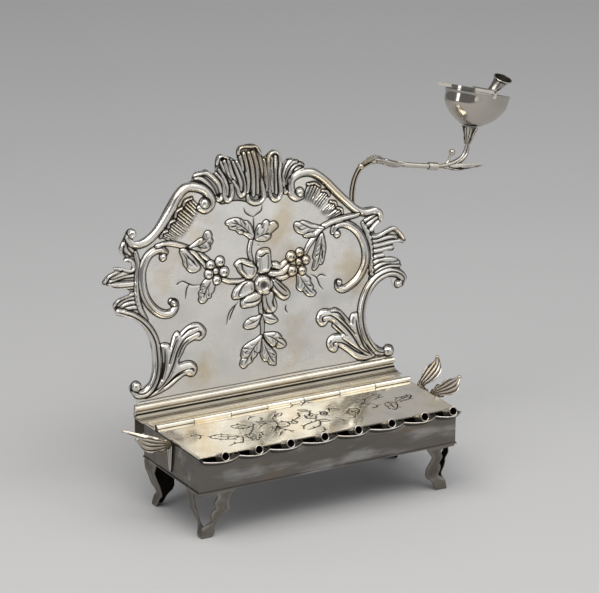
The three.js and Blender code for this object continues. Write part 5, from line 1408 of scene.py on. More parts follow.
# Crest: a dark ground with bright ribs that join in round lower lobes
CREST_GROUND = [
    (-43, 148), (-35, 141), (-27, 133), (-24, 128), (-14, 129), (-5, 127), (0, 124), (6, 124), (12, 128),
    (18, 124), (24, 128), (29, 134), (37, 142), (42, 146), (31, 150), (24, 152), (20, 158), (10, 155),
    (5, 164), (-6, 164), (-10, 156), (-20, 161), (-25, 154), (-33, 150),
]
CREST_RIBS = [
    ([(-23.5, 134), (-25, 141), (-28.5, 146), (-33, 150), (-38, 150.8), (-43.5, 149.7)], 1.3, 2.6),
    ([(-28.5, 134), (-31, 139.5), (-35.5, 145), (-39, 147.5), (-43, 147.8)], 1.1, 2),
    ([(-23.5, 134), (-24, 131.2), (-26, 130.8), (-28.3, 133)], 1, 2.2),
    ([(-26.8, 149), (-22.4, 143.5), (-21.5, 137), (-21.3, 132), (-19.3, 129.2), (-16.8, 130.8),
      (-15.6, 135), (-16, 140), (-18, 146), (-21, 152), (-23, 156)], 1.2, 3),
    ([(-17, 142), (-20, 150), (-23, 157.5)], 0.9, 2.2),
    ([(-19.3, 133), (-19, 139), (-21, 145.5), (-24.5, 151.5)], 1, 2),
    ([(-15, 142.5), (-18, 150), (-20, 158)], 1.1, 2.6),
    ([(-12, 141.5), (-15.2, 149), (-17, 158)], 1.1, 2.8),
    ([(-25.3, 155), (-23.8, 159.3), (-21.5, 160.5), (-18.5, 159.3), (-16, 158.3)], 0.9, 2.6),
    ([(-14.3, 142), (-11, 137), (-10.2, 133.5), (-8.4, 131.2), (-6.3, 132.5), (-5.8, 137), (-6.3, 143),
      (-8, 150), (-10, 155)], 1.2, 2.8),
    ([(-8.2, 134.5), (-8.4, 141), (-10.5, 148), (-13, 155)], 1, 2.2),
    ([(-3.5, 131), (-3, 127.5), (0, 125), (3, 124.3), (6.5, 125.3), (8.8, 128.5), (8.4, 134), (7.2, 141),
      (6.5, 149), (5, 157), (3, 162)], 1.3, 3.4),
    ([(1, 130), (1.2, 140), (1, 150), (-0.5, 160)], 1.3, 3.4),
    ([(4.5, 131), (4.5, 141), (4.2, 150), (2.5, 160)], 1.1, 3),
    ([(-3.4, 133), (-2.6, 141), (-3, 150), (-4.2, 160)], 1.3, 3.2),
    ([(-5.5, 148), (-6.5, 154), (-7.5, 160)], 0.9, 2.2),
    ([(8.6, 142), (8.6, 149), (7.3, 157), (6, 162)], 1, 2.6),
    ([(-8.4, 160), (-7.3, 163.6), (-4, 164.6), (1, 163.8), (5, 163.4), (7.6, 160), (9, 157)], 0.9, 3),
    ([(11.8, 132), (12, 143), (11, 153)], 1.3, 2),
    ([(14.2, 137), (14, 131), (14.6, 127.5), (16.5, 125), (18.5, 124.3), (21, 125.5), (22.4, 129),
      (22.4, 135), (21.8, 141), (23, 147.5), (23.4, 152.5), (22, 156.4), (19, 157.8), (16, 156.2),
      (14.3, 151), (14.3, 143), (14.2, 137)], 1.1, 3),
    ([(18.8, 129), (18.4, 136), (18.5, 143), (19.8, 149.5), (20.3, 154.5)], 1.3, 2.8),
    ([(16.3, 130), (15.9, 138), (16.3, 146), (17.3, 153.5)], 0.9, 2.3),
    ([(25.5, 131), (25, 137), (27, 143.5), (31, 149), (34, 150)], 1.2, 2.6),
    ([(25.5, 131), (26, 128.8), (27.8, 129.3), (28.3, 133), (30.5, 139), (34.5, 142.5), (38.5, 143.7),
      (41.5, 143.3)], 1.2, 2.6),
    ([(26.8, 134), (29.5, 141), (33.5, 145.5), (37.5, 147), (41.5, 145.4)], 1, 2.2),
    ([(26.3, 139), (29, 144.5), (33, 148), (37, 148.7)], 0.8, 2),
]
CREST_POCKETS = [(-1.4, 131.2, 1.3), (-21, 158.5, 1.4), (9.9, 135, 1), (-25.8, 134, 1.3), (5.8, 128, 1.2)]

# Scalloped groups of flutes under the shoulders: two outer corners, two inner corners, and the count
PANELS = [
    ([(-54, 130.3), (-46.5, 135)], [(-44, 121), (-39.5, 127)], 4),
    ([(-60.6, 123.5), (-54.6, 129.3)], [(-50, 114), (-44.5, 120.3)], 4),
    ([(-66.3, 117.3), (-60.8, 121.8)], [(-56, 108.5), (-50.3, 113)], 4),
    ([(-72.3, 111.8), (-67, 115.5)], [(-64, 107.3), (-57.5, 108.8)], 4),
    ([(53.5, 128.5), (44, 131.5)], [(46, 117.5), (39, 121)], 4),
    ([(60.3, 121.3), (55.3, 125.3)], [(52, 112), (46, 117.5)], 4),
    ([(65.5, 112.8), (61, 116.8)], [(55, 107.5), (52, 110.5)], 4),
    ([(69.8, 107.5), (66, 111.7)], [(60, 104.5), (56, 106)], 3),
]
FLUTE_RISE = 1.9

# Ribs over a dark ground: how far they spread, their ends and lines, and the rise of the ground
RIB_SPREAD = 1.2
RIB_ENDS = (0.6, 0.6)
RIB_LINE = 0.9
GROUND_DARK = 0.42
GROUND_ROUND = 2.5
FLAME_GROUND_RISE = 0.5
CREST_GROUND_RISE = 0.9
POCKET_DEPTH = 0.8

# Acanthus sprays in the lower corners, leaves and petals: outline, and the creases pressed into it
ACANTHUS_LEFT = (
    [(-93, 3.5), (-85, 4.5), (-75, 7.5), (-68, 11.5), (-62, 14.5), (-58, 13), (-55, 13), (-52.5, 16),
     (-53, 20), (-56.5, 22.8), (-61, 23.3), (-65, 23), (-66, 25), (-62.5, 30), (-59, 35), (-53, 37.5),
     (-50.5, 37.3), (-48, 36.8), (-44.5, 39), (-43.5, 42.5), (-46, 46.5), (-50, 48.5), (-55, 48),
     (-60, 45.5), (-63, 43.5), (-65, 45), (-68, 43), (-70, 38.5), (-71.5, 35), (-72, 37), (-75, 38.5),
     (-78, 38.2), (-79.5, 36), (-80, 30), (-80.5, 24), (-82, 15), (-87, 7)],
    [[(-88, 5.5), (-78, 12), (-71, 22), (-66.5, 32), (-60, 39.5), (-52, 42)],
     [(-84, 6), (-75, 11.5), (-67, 16.5), (-59, 18.5)], [(-80, 14), (-77.5, 22), (-76.5, 30), (-76.3, 35)],
     [(-74, 24), (-70, 33), (-66.5, 40)], [(-52, 42.5), (-48.5, 42.7), (-48, 40), (-50.3, 39)],
     [(-58.5, 18), (-56, 17.8), (-55.8, 15.8)], [(-67, 27), (-63, 34), (-57.5, 38.5)],
     [(-85, 8), (-80, 17), (-78, 26)], [(-78, 9), (-70, 14), (-63, 16.5)],
     [(-63, 41), (-57, 45), (-50, 46)]],
)
ACANTHUS_RIGHT = (
    [(88, 2.5), (82, 1.2), (77, 1.5), (72, 4.5), (67, 9), (62, 13), (59.5, 14.8), (58.5, 12), (56, 11),
     (52.5, 13), (51, 17), (52, 20.5), (55.5, 22.8), (60, 23), (62.5, 22.5), (58.5, 27), (56, 29.5),
     (57, 31.5), (53, 33.5), (50.5, 31), (47, 31), (44.5, 34), (44, 37), (46, 40.5), (50, 42.3),
     (55, 41), (59, 41.5), (63, 39), (66.5, 35), (69.5, 31), (70, 29.5), (70.5, 32), (72, 35),
     (75, 35.7), (77, 34.5), (77.5, 30), (79, 20), (83, 10), (88, 4.5)],
    [[(86, 4), (77, 10), (71, 20), (64, 29), (56, 36.5), (50, 37.5)],
     [(82, 4), (73, 8.5), (64, 15.5), (56.5, 18)],
     [(79, 13), (75.5, 22), (74.3, 31)], [(73, 21), (67, 29), (61, 36)],
     [(50, 37.5), (47.7, 36.5), (48.3, 34), (50.5, 34)], [(57, 18), (55, 17), (55.4, 14.8)],
     [(66, 21), (60, 27.5), (56, 31.5)], [(79, 6), (70, 13), (62, 20)], [(84, 6), (79, 12), (76.5, 20)],
     [(66, 32), (61, 38), (55, 39.5)]],
)
LEAVES = [
    ([(-53, 101.5), (-50, 102.5), (-46, 104.5), (-42.5, 106.2), (-40.2, 106.3), (-39, 108.5), (-37, 110.5),
      (-34.5, 110), (-33.3, 107.5), (-33.8, 105), (-32.8, 103.5), (-34, 101.5), (-36, 100.5), (-35, 98.8),
      (-37.5, 97.3), (-41, 97), (-46, 98.8), (-50, 100.3)],
     [[(-50, 101), (-45, 101.5), (-40, 102.8), (-36, 106)], [(-45, 101.3), (-41, 99.5), (-37.5, 99)],
      [(-39.5, 106.3), (-39.7, 104.5)], [(-34.5, 101.8), (-37, 102)]]),
    ([(-58.5, 100), (-56.5, 94), (-56.3, 90.5), (-54.5, 88), (-53.7, 86.5), (-51.5, 84.5), (-48, 84),
      (-45, 85), (-43.7, 86.5), (-45.5, 89.5), (-47.5, 92.5), (-50, 96), (-53, 99.5), (-56, 101.5)],
     [[(-57, 98.5), (-54.5, 94.5), (-54, 90), (-53.8, 87.5)], [(-55, 98), (-50, 92), (-46, 87)],
      [(-49.5, 92.5), (-47.7, 89.5)]]),
    ([(-1.5, 101), (-1.2, 105), (-2.5, 109.5), (-5, 112.5), (-8, 113.3), (-10.5, 115), (-14, 116),
      (-18.5, 115.8), (-21.8, 114.3), (-21, 112.8), (-19.5, 112), (-19, 110), (-16.5, 108.8),
      (-14.5, 108.2), (-12, 105.5), (-9, 104.5), (-6, 102.5), (-4, 100.5)],
     [[(-2.5, 102.5), (-7, 107.5), (-12, 111.5), (-19, 113.8)], [(-5, 104.5), (-9, 106.5), (-14, 108.8)],
      [(-8.5, 113), (-6.5, 110.5)], [(-15.5, 115.3), (-12.5, 112.5)], [(-18.5, 111), (-14, 110.5)]]),
    ([(0.3, 100.5), (0.8, 104), (2.2, 107.5), (4.5, 109.2), (6.2, 108), (7.3, 110), (9.5, 111.3),
      (11.5, 110.3), (12.5, 109), (15.5, 109.5), (18, 107.8), (18.3, 105.5), (16.5, 104.3), (14, 102.8),
      (11.5, 101.3), (12.5, 100.2), (11, 98.3), (7.5, 97.3), (4, 97.8), (1, 98.8)],
     [[(1.5, 100.3), (6, 101.5), (11, 102.5)], [(2, 104), (1.8, 101.5)], [(6.2, 107.8), (6, 105.8)],
      [(12.2, 108.8), (11, 107)], [(11.5, 101.3), (8, 101.5)]]),
    ([(-35, 78), (-39, 78), (-43, 75.5), (-44.5, 72.5), (-44.3, 70.8), (-46.2, 69), (-45.7, 66.5),
      (-46.7, 64.5), (-45.5, 62.3), (-43, 61.8), (-41, 63), (-39.5, 64.5), (-37.5, 64.8), (-37, 67),
      (-35, 68.5), (-34, 71.5), (-33.5, 74.5)],
     [[(-37, 75.5), (-41, 70), (-43.5, 65)], [(-43.5, 73.5), (-41.5, 72.5)], [(-45, 69), (-42.5, 68)],
      [(-38.5, 65.5), (-40, 67.5)]]),
    ([(31, 69.5), (30.8, 65), (30, 61), (31.5, 59), (33.5, 57.8), (35, 58.5), (36, 56.2), (38, 54.2),
      (40.5, 53.2), (43, 53.2), (44.5, 54.5), (43.8, 56.2), (42, 57.5), (42.8, 59.5), (41.8, 61.5),
      (40.8, 63.5), (41, 65.5), (38.5, 67.8), (35.5, 69.5), (33, 70)],
     [[(33, 68), (36, 62.5), (40, 57), (42.5, 54.8)], [(35, 58.8), (36, 61)], [(41.8, 60), (39.5, 61)],
      [(36, 58.5), (38.5, 55.5)]]),
    ([(54, 99.5), (50, 101.5), (46, 103), (42, 105), (38, 106.5), (36, 105.8), (33, 106.3), (31.3, 104.5),
      (31.8, 101.5), (34, 99), (37.2, 97.5), (38.5, 95.5), (41.5, 94.5), (46, 94.6), (50, 96.3), (53, 98)],
     [[(52, 99), (45, 100.3), (39, 103.5), (36, 105.5)], [(32.3, 104), (35.5, 101), (38, 100.5)],
      [(37.5, 97.3), (42, 97.8), (48, 98.3)]]),
    ([(53.5, 95.5), (54.5, 90), (54.8, 85), (53.5, 80), (52, 75.5), (50.5, 74.3), (49, 75), (47.5, 73),
      (45.5, 71.2), (43.5, 71.8), (44.2, 75), (45.5, 78), (44.5, 80.5), (46, 84.5), (47.5, 88.5),
      (49.5, 92), (51.5, 94.5)],
     [[(52, 93), (50.5, 85), (48.5, 78), (46, 73)], [(51.5, 88), (51.8, 81), (51, 77)],
      [(46, 80), (48, 82)]]),
    ([(0, 46.5), (-2.5, 45.5), (-6, 45.6), (-10, 44.5), (-13, 42), (-13.5, 40), (-11.5, 38.5), (-8, 38),
      (-4.5, 38.5), (-2, 40.5), (-0.8, 43.5)],
     [[(-2, 43.5), (-6, 42), (-11.5, 40.8)]]),
    ([(2.2, 46.5), (5, 45.8), (8.5, 45.5), (11, 43.5), (13, 40.8), (12.5, 39.8), (9.5, 39), (6.5, 39.3),
      (3.5, 41.3), (2.3, 44)],
     [[(3.5, 44.5), (7, 42.5), (12, 40.8)]]),
    ([(-0.5, 32), (-5, 30), (-10, 28.5), (-14, 26.5), (-16, 24.5), (-16.8, 22), (-17.3, 20.5),
      (-16.6, 18.5), (-18, 16), (-18.3, 13.5), (-16, 11.5), (-13.8, 12.3), (-12.5, 13.6), (-9.5, 14.8),
      (-8, 17), (-5.5, 18.5), (-4.5, 20.5), (-2, 21.5), (-1.2, 26)],
     [[(-2.5, 29), (-7.5, 24), (-12, 18.5), (-15.5, 13.5)], [(-15.5, 24.7), (-11, 25)],
      [(-15, 22), (-12, 22.8)], [(-16.5, 18.5), (-13, 18)], [(-5, 20.5), (-7.5, 22)],
      [(-9.5, 15.5), (-10.5, 18.5)]]),
    ([(0.2, 29), (-1.3, 22), (-2, 19.5), (-1, 16), (0.5, 13.8), (3, 13.3), (4.2, 11.2), (6, 10.3), (9, 9.8),
      (9.3, 13), (9.7, 16.5), (9, 18.5), (6.5, 21.5), (3.5, 24.5), (1.5, 27.5)],
     [[(0.8, 26), (3, 20), (6, 14), (8.5, 10.8)], [(3, 13.5), (3.8, 16)], [(9, 16.3), (6.5, 17.5)]]),
    ([(1.5, 32.5), (5, 32.8), (9.5, 32.4), (13, 31), (15, 28.7), (15.3, 27), (17.5, 25), (18.3, 22.5),
      (16.5, 21), (13.5, 20.8), (11, 21.8), (10.5, 23), (7.5, 23), (5, 25.8), (3, 28.5)],
     [[(3.5, 31), (8, 29), (13.5, 24.5), (17, 22)], [(15.2, 27), (12.5, 27.8)], [(10, 23.2), (12, 25.5)]]),
]
PETALS = [
    ([(0.3, 76), (0, 82), (0.2, 87.5), (1.5, 90.5), (5, 92), (8.5, 91.8), (10.8, 90), (10.9, 84),
      (10.5, 79), (8.5, 75.5), (4, 75)],
     [[(1, 87.5), (4, 87), (7, 88.5), (9.8, 88.3)]]),
    ([(-1, 80.5), (-4, 84), (-8, 86.3), (-13, 87.3), (-17.3, 84.7), (-16, 82.5), (-14.5, 79), (-11.5, 75.5),
      (-9, 73), (-5, 72.5), (-2, 75), (-0.5, 78.5)],
     [[(-15.5, 84.5), (-12.5, 84.5), (-12.3, 80.5), (-9, 76)], [(-12.5, 84.5), (-8, 82), (-3, 80)]]),
    ([(-4, 63.8), (-8, 61.8), (-13, 60.5), (-17.5, 60.3), (-20.6, 61.3), (-20.4, 64.5), (-18, 68),
      (-14, 70.5), (-9, 71.8), (-5.5, 71.3), (-3.8, 69)],
     [[(-17, 61.5), (-15.5, 66), (-12.5, 69.5), (-8.5, 70.8)]]),
    ([(2, 62), (1.5, 58.5), (-0.5, 55), (-4, 53.4), (-9, 53.2), (-13, 53.5), (-14.7, 55.5), (-14, 58.5),
      (-11.5, 60.8), (-7, 62.2), (-3, 63)],
     [[(-12.5, 57), (-7, 56.5), (-2, 57.3), (1, 60)]]),
    ([(2.5, 61), (2.2, 56), (2.8, 51.5), (4.5, 48), (7, 46.6), (10.5, 46.8), (12.8, 49.2), (12.8, 53),
      (11.5, 57), (10.8, 61), (8, 62.5)],
     [[(4, 59), (5, 53), (7.5, 48.5)], [(10.5, 60), (9.5, 54), (10.5, 50)]]),
    ([(9, 63.5), (12, 60), (15.5, 56.5), (19.5, 54), (22.8, 55), (24, 57.8), (22.5, 60.8), (19.5, 64),
      (15.5, 68), (12.5, 69.8), (9.5, 69.5)],
     [[(10.5, 66.5), (14.5, 61), (19, 57), (22, 57.3)], [(12.5, 68.5), (17, 63.5), (21, 59.5)]]),
]
BOSS = (3.5, 67)
BERRIES = [
    (-36, 87, 3.1), (-28.5, 88.2, 3.4), (-37.7, 80.8, 3.1), (-25.8, 80.6, 3.4), (-31.8, 75.8, 3),
    (-32, 82, 1.9), (27, 83.2, 3.6), (34, 85, 2.9), (27.3, 73.2, 3.6), (38.6, 79, 2.9),
    (35.3, 72, 2.9), (33, 78.5, 2.1),
]

# Stems: centre line, half width, rise
STEMS = [
    ([(-76, 106), (-68, 106.7), (-60, 104.7), (-50, 100), (-40, 93), (-36, 89)], 1.4, 1.6),
    ([(-54, 101), (-48, 97), (-42, 90), (-39, 85)], 1, 1.2),
    ([(-28, 76), (-22, 73.3), (-14, 72.2), (-8, 73)], 1.4, 1.7),
    ([(9.5, 79.5), (14, 79.3), (18, 77.4), (23, 80.5)], 2.2, 2.4),
    ([(10, 74), (15, 73), (20, 73.7), (24.5, 77)], 2.4, 2.6),
    ([(14, 70), (19, 69.4), (24.5, 70.3)], 1.5, 1.6),
    ([(82, 104.5), (75, 104), (68, 103.5), (60, 102), (52, 99), (46, 93.5), (41, 88), (38.5, 84)], 1.8, 2),
    ([(-3, 80), (-4.2, 86), (-5, 92), (-3.5, 98), (-1, 103.5)], 1.25, 1.6),
    ([(0.5, 58), (0.6, 50), (1, 40), (0.2, 31)], 1.2, 1.4),
]

# Lines cut with a graver
TENDRILS = [
    [(-0.6, 103), (-0.2, 109), (0, 115)],
    [(0, 115), (-3, 116.5), (-6, 119), (-7, 122.5)], [(0, 115), (3, 116.5), (6.5, 118.5), (7.5, 122)],
    [(-43, 74.5), (-50, 75), (-54.5, 77), (-58, 79), (-62, 78)], [(-53, 76), (-55.5, 73), (-57, 66)],
    [(-60, 79), (-63, 77)], [(41, 68.5), (46, 65.5), (48, 60), (51, 55.5)],
    [(46.5, 65.5), (50, 67), (54, 65)], [(-16, 58), (-22, 54), (-25, 50), (-27, 43)],
    [(-18, 57), (-22.5, 50.5), (-24.5, 46)], [(21, 50.5), (20, 47), (22, 44)], [(2, 94.5), (2.6, 95.4)],
]
PLATE_FOOT_LINE = [(-98, 1.2), (-60, 1.5), (-20, 1.1), (20, 1.5), (60, 1.2), (98, 1.4)]
VEIN_EVERY = 3.6
VEIN_STROKE = [(0, 1.1), (2.07, 1.61), (3.45, 3.45)]

# How far the raised shapes stand out, and how they are rounded, creased and pitted
ACANTHUS_SHAPE = dict(rise=2.4, round_over=3, crease_half=0.7, crease_depth=1.3)
LEAF_SHAPE = dict(rise=1, round_over=1.8, crease_half=0.52, crease_depth=0.6)
PETAL_SHAPE = dict(rise=3.1, round_over=3, crease_half=0.65, crease_depth=0.7, dish=0.3)
STEM_ENDS = (0.7, 0.6)
BOSS_RADIUS = 6.5
BOSS_RISE = 4
BOSS_PIT = dict(radius=3.1, depth=2.2, edge=0.14, dark=0.62)
BERRY_RISE_SHARE = 0.9
BERRY_PIT_SHARE = 0.24
BERRY_PIT_PLACE = (0.25, -0.1)
BERRY_PIT_DEPTH = 0.7


def lay_scrolls(relief):
    for scroll in SCROLLS:
        relief.ridge(*scroll)
    for across, up, radius, rise in BALLS:
        relief.dome((across, up), radius, rise)


def lay_ribs(relief, grounds, ribs, ground_rise):
    for ground in grounds:
        relief.pillow(ground, ground_rise, GROUND_ROUND, dark=GROUND_DARK)
    for points, half, rise in ribs:
        relief.ridge(points, RIB_SPREAD * half, rise, RIB_ENDS, line=RIB_LINE)


def lay_veins(relief, outline, midrib):
    """Short veins off a leaf's midrib, to both sides, where they stay on the leaf."""
    path = even(smooth(midrib), VEIN_EVERY)
    ahead = unit_vectors(np.gradient(path, axis=0))
    for k in range(1, len(path) - 1):
        for way in (-1, 1):
            vein = stroke(path[k], ahead[k], way, VEIN_STROKE)
            if inside(np.array(outline), vein[-1]):
                relief.engrave(vein, *VEIN_CUT)


def lay_berry(relief, across, up, radius):
    relief.dome((across, up), radius, BERRY_RISE_SHARE * radius)
    aside, above = BERRY_PIT_PLACE
    pit = (across + aside * radius, up + above * radius)
    relief.hollow(pit, BERRY_PIT_SHARE * radius, BERRY_PIT_DEPTH)


def lay_flower(relief):
    for points, half, rise in STEMS:
        relief.ridge(points, half, rise, STEM_ENDS)
    for outline, creases in LEAVES:
        relief.pillow(outline, creases=creases, **LEAF_SHAPE)
        lay_veins(relief, outline, creases[0])
    for outline, creases in PETALS:
        relief.pillow(outline, creases=creases, **PETAL_SHAPE)
    for berry in BERRIES:
        lay_berry(relief, *berry)
    relief.dome(BOSS, BOSS_RADIUS, BOSS_RISE)
    relief.hollow(BOSS, **BOSS_PIT)


def plate_relief():
    low = np.array(PLATE_OUTLINE).min(0) - PLATE_MAP_MARGIN - [0, SKIRT_DROP]
    high = np.array(PLATE_OUTLINE).max(0) + PLATE_MAP_MARGIN
    relief = Relief(low, high, PLATE_MAP_STEP)
    for starts, ends, count in PANELS:
        relief.flutes(starts, ends, count, FLUTE_RISE)
    lay_ribs(relief, FLAME_HOLLOWS, FLAMES_LEFT + FLAMES_RIGHT, FLAME_GROUND_RISE)
    for outline, creases in (ACANTHUS_LEFT, ACANTHUS_RIGHT):
        relief.pillow(outline, creases=creases, **ACANTHUS_SHAPE)
    lay_ribs(relief, [CREST_GROUND], CREST_RIBS, CREST_GROUND_RISE)
    for across, up, radius in CREST_POCKETS:
        relief.hollow((across, up), radius, POCKET_DEPTH)
    lay_scrolls(relief)
    lay_flower(relief)
    for points in TENDRILS:
        relief.engrave(points, *TENDRIL_CUT)
    relief.engrave(PLATE_FOOT_LINE, *PLATE_FOOT_CUT)
    relief.soften(PLATE_SOFTENING)
    relief.shade_hollows(**PLATE_HOLLOWS)
    across, up = relief.spots[..., 0], relief.spots[..., 1]
    relief.height += PLATE_WAVE * uneven(across, up, **PLATE_WAVES)
    reach, least = PLATE_FOOT_FADE
    relief.height *= np.clip(up / reach + least, 0, 1)
    return relief


def on_plate(points, raised):
    """Flat points of the backplate and its upright skirt, raised towards the viewer, in space."""
    upright = np.stack([points[:, 0], plate_foot_back - raised, plate_foot_up + points[:, 1]], 1)
    tilted = np.stack([points[:, 0], -raised, points[:, 1]], 1)
    return np.where(points[:, 1:] < 0, on_lamp(upright), leaning(tilted))


def plate_rim():
    upper = smooth(PLATE_OUTLINE, per_span=5)
    upper[:, 1] = np.maximum(upper[:, 1], 0)
    skirt = [(SKIRT_HALF, 0), (SKIRT_HALF, -SKIRT_DROP), (-SKIRT_HALF, -SKIRT_DROP), (-SKIRT_HALF, 0)]
    return counterclockwise(even(np.vstack([upper, skirt]), PLATE_RIM_STEP, closed=True))


def backplate():
    relief = plate_relief()
    hidden = lowest_round(relief.height, PLATE_BACK_CELLS)
    form = sheet(
        [plate_rim()],
        PLATE_STEPS,
        lambda points: np.maximum(relief.at(relief.height, points), PLATE_LOWEST),
        lambda points: relief.at(hidden, points) - PLATE_SHEET,
        on_plate,
        lambda points: relief.at(relief.dark, points),
        wide=PLATE_CALM_STEP,
        busy=relief.busy,
    )
    piece("backplate_relief", [form], chased, "lamp_body", ["backplate"], CHASED_SHARP)


# Servant light: places across and up in the leaning plane of the backplate, behind it by ARM_BEHIND
ARM_BEHIND = 3.8
ARM = [
    (81.1, 103.6), (80.7, 111), (81, 118), (82.5, 125), (85, 131), (88.5, 135.5), (93, 138), (98, 139.5),
    (103, 139.3), (109, 137.8), (116, 135.5), (124, 133.5), (133, 131.7), (142, 130), (150, 128.5),
]
ARM_HALVES = [
    (2.4, 1.5), (2.4, 1.5), (2.4, 1.6), (2.3, 1.7), (2.1, 1.8), (2.2, 2), (2.6, 2.4), (2.3, 2.2),
    (2.4, 2.2), (2.2, 2.1), (2.1, 2), (1.95, 1.9), (1.9, 1.85), (1.85, 1.8), (1.8, 1.75),
]
TANG_HALF = (2.2, 1.2)
TANG_FOOT = 73
SHOULDER_HALF = 3.5
SLEEVE_TOP = 102
SHOULDER_BEHIND = 0.9
ARM_GAP = 0.3

# Runs of the arm: first and last point, flutes, their depth and their twist
ARM_RUNS = [(0, 7, 4, 0.34, 0), (7, 11, 5, 0.22, 5), (11, 14, 0, 0, 0)]
ARM_SIDES = 18
ARM_KNOBS = [(89.6, 137, 2.3), (100.5, 140.4, 2), (110, 138.2, 1.7)]

# Leaves and stems on the arm: points across and up, and half widths. The leaves of the branch also have
# how far behind the arm they are.
ARM_LEAF = dict(sheet=0.6, camber=0.2, lobes=2.5, bite=0.25, rib=0.5)
ARM_LEAF_LOOK = (0, -0.8, 0.6)
ARM_LEAF_BEHIND = -1.5
ARM_LEAVES = [
    ([(90, 138.3), (95, 140.8), (101, 142.4), (106.5, 141.6)], [0.8, 1.9, 1.7, 0.5]),
    ([(101, 139.2), (108, 137), (115, 134.2), (121, 132.8)], [0.9, 2, 1.6, 0.4]),
]
STEM_STRANDS = [
    ([(150.8, 128.4), (158, 128), (165, 129), (171, 131.5), (174, 134.5), (176.4, 139.8)],
     [1.4, 2, 2.1, 1.6, 1.2, 1.1]),
    ([(158, 127.6), (165, 128.2), (171, 129.8), (175.5, 132.8), (177.4, 136.5), (177.8, 139.8)],
     [1, 1.6, 1.7, 1.3, 1, 0.9]),
]
STRAND_FLUTES = 3
STRAND_GROOVE = 0.2
BUD_STEM = ([(158.5, 128.3), (160.8, 130.8), (162, 133.6), (163.4, 135.8)], [1.3, 1, 0.9, 1.2])
BUD = (164.3, 136.6, 2.3)
BRANCH_LEAF_LOOK = (0, -0.45, 0.9)
BRANCH_LEAVES = [
    ([(156, 127), (164, 125.8), (173, 125), (180.5, 123.6)], [1.6, 4.6, 3.8, 0.7], 0),
    ([(160, 127), (170, 126.2), (180, 125), (187, 124.5)], [1.2, 2.8, 2.4, 0.6], -2.4),
]

# Calyx under the bowl, and its sepals: reach from the middle, up, half width, and how far up they look
BOWL_DROOP = math.radians(15)
BOWL_FOOT = (177, 140)
BOWL_GAP = 0.3
CALYX_UP = 13
CALYX_PROFILE = [(1.6, 0), (2.1, 3), (2.8, 7), (3.9, 11), (4.6, CALYX_UP)]
CALYX_DARK = 0.5
CALYX_SIDES = 24
SEPALS = 4
SEPAL = dict(sheet=0.5, camber=0.25, lobes=1.5, bite=0.1, rib=0.35, per_span=6)
SEPAL_POINTS = [
    (1.4, 0, 0.9, -0.1), (2.4, 4, 1.7, 0), (3.2, 8, 2.3, 0), (4.6, 11.5, 2.4, -0.6), (5.6, 12.9, 0.8, -1),
]

# Bowl: the share of its depth down, shares of its length and width there, how far it is forward, how dark
BOWL_LENGTH = 51.4
BOWL_WIDTH = 31
BOWL_DEPTH = 24.6
BOWL_RIM = CALYX_UP + BOWL_GAP + BOWL_DEPTH
BOWL_SHEET = 0.9
BOWL_FORWARD = 2.6
BOWL_PINCH = 0.28
# Inside of the bowl: painted shade
BOWL_INNER_SHADE = 0.6
BOWL_SIDES = 56
BOWL_LEVELS = [
    (0, 1, 1, 0, 0), (0.03, 1.003, 1.005, 0, 0), (0.06, 0.99, 0.99, 0, 0.3), (0.13, 0.975, 0.975, 0, 0),
    (0.24, 0.967, 0.965, -0.005, 0), (0.34, 0.957, 0.95, -0.01, 0), (0.4, 0.94, 0.93, -0.012, 0),
    (0.435, 0.92, 0.91, -0.013, 0.15), (0.47, 0.9, 0.89, -0.015, 0), (0.56, 0.845, 0.83, -0.018, 0),
    (0.66, 0.765, 0.75, -0.02, 0), (0.77, 0.65, 0.63, -0.025, 0), (0.86, 0.52, 0.5, -0.032, 0.1),
    (0.93, 0.4, 0.385, -0.04, 0.3), (0.97, 0.31, 0.3, -0.045, 0.4), (1, 0.2, 0.19, -0.05, 0.6),
]

# Lugs for the pin of the bowl's cover: a small plate with an eye at its top
COVER_AT = 6.71
COVER_LIFT = 1.9
LUG_THICK = 1.4
LUG_HALF = 1.5
LUG_SHORT = 0.9
LUG_BORE = 0.95
LUG_ROUNDING = 0.2
LUG_SIDES = 20

# Wick tube of the bowl: along, forward and up as shares of its rise, radius as a share of its mouth's,
# and the share of its turn to the front
TUBE_FOOT_SHARE = 0.19
TUBE_FOOT_UP = 0.8
TUBE_RISE = 11
TUBE_MOUTH = 7.1
TUBE_WALL = 0.7
TUBE_TURN = math.radians(24)
TUBE_SIDES = 32
TUBE_DARK = 0.35
TUBE_LIP_DARK = 0.1
TUBE_LIP_RINGS = 6
TUBE_LEVELS = [
    (-1.55, 0, -2.14, 0.5, 0), (-0.8, 0, -1.1, 0.52, 0), (-0.05, 0, 0, 0.55, 0),
    (0.24, 0.03, 0.32, 0.58, 0.25), (0.47, 0.07, 0.66, 0.68, 0.6), (0.6, 0.095, 0.86, 0.82, 0.85),
    (0.66, 0.108, 1, 0.97, 0.97), (0.68, 0.11, 1.05, 0.985, 1),
]


def in_plane(points, behind=ARM_BEHIND):
    """Points across and up in the arm's plane, given how far they lie behind the plate."""
    points = np.asarray(points, float)
    return np.column_stack([points[:, 0], np.full(len(points), behind), points[:, 1]])

def rib(points, halves, flutes=0, depth=0.0, twist=0.0):
    return placed(rod(in_plane(points), halves, ARM_SIDES, flutes, depth, twist), leaning)


def arm_leaf(points, halves, look, behind):
    path = in_plane(points, ARM_BEHIND + behind)
    return placed(blade(path, halves, [look] * len(points), **ARM_LEAF), leaning)


def arm_block(half, deep_front, deep_back, low, high):
    """A block round the foot of the arm, from one height to another."""
    across = ARM[0][0]
    corners = (across - half, ARM_BEHIND - deep_front, low), (across + half, ARM_BEHIND + deep_back, high)
    return placed(slab(*corners), leaning)


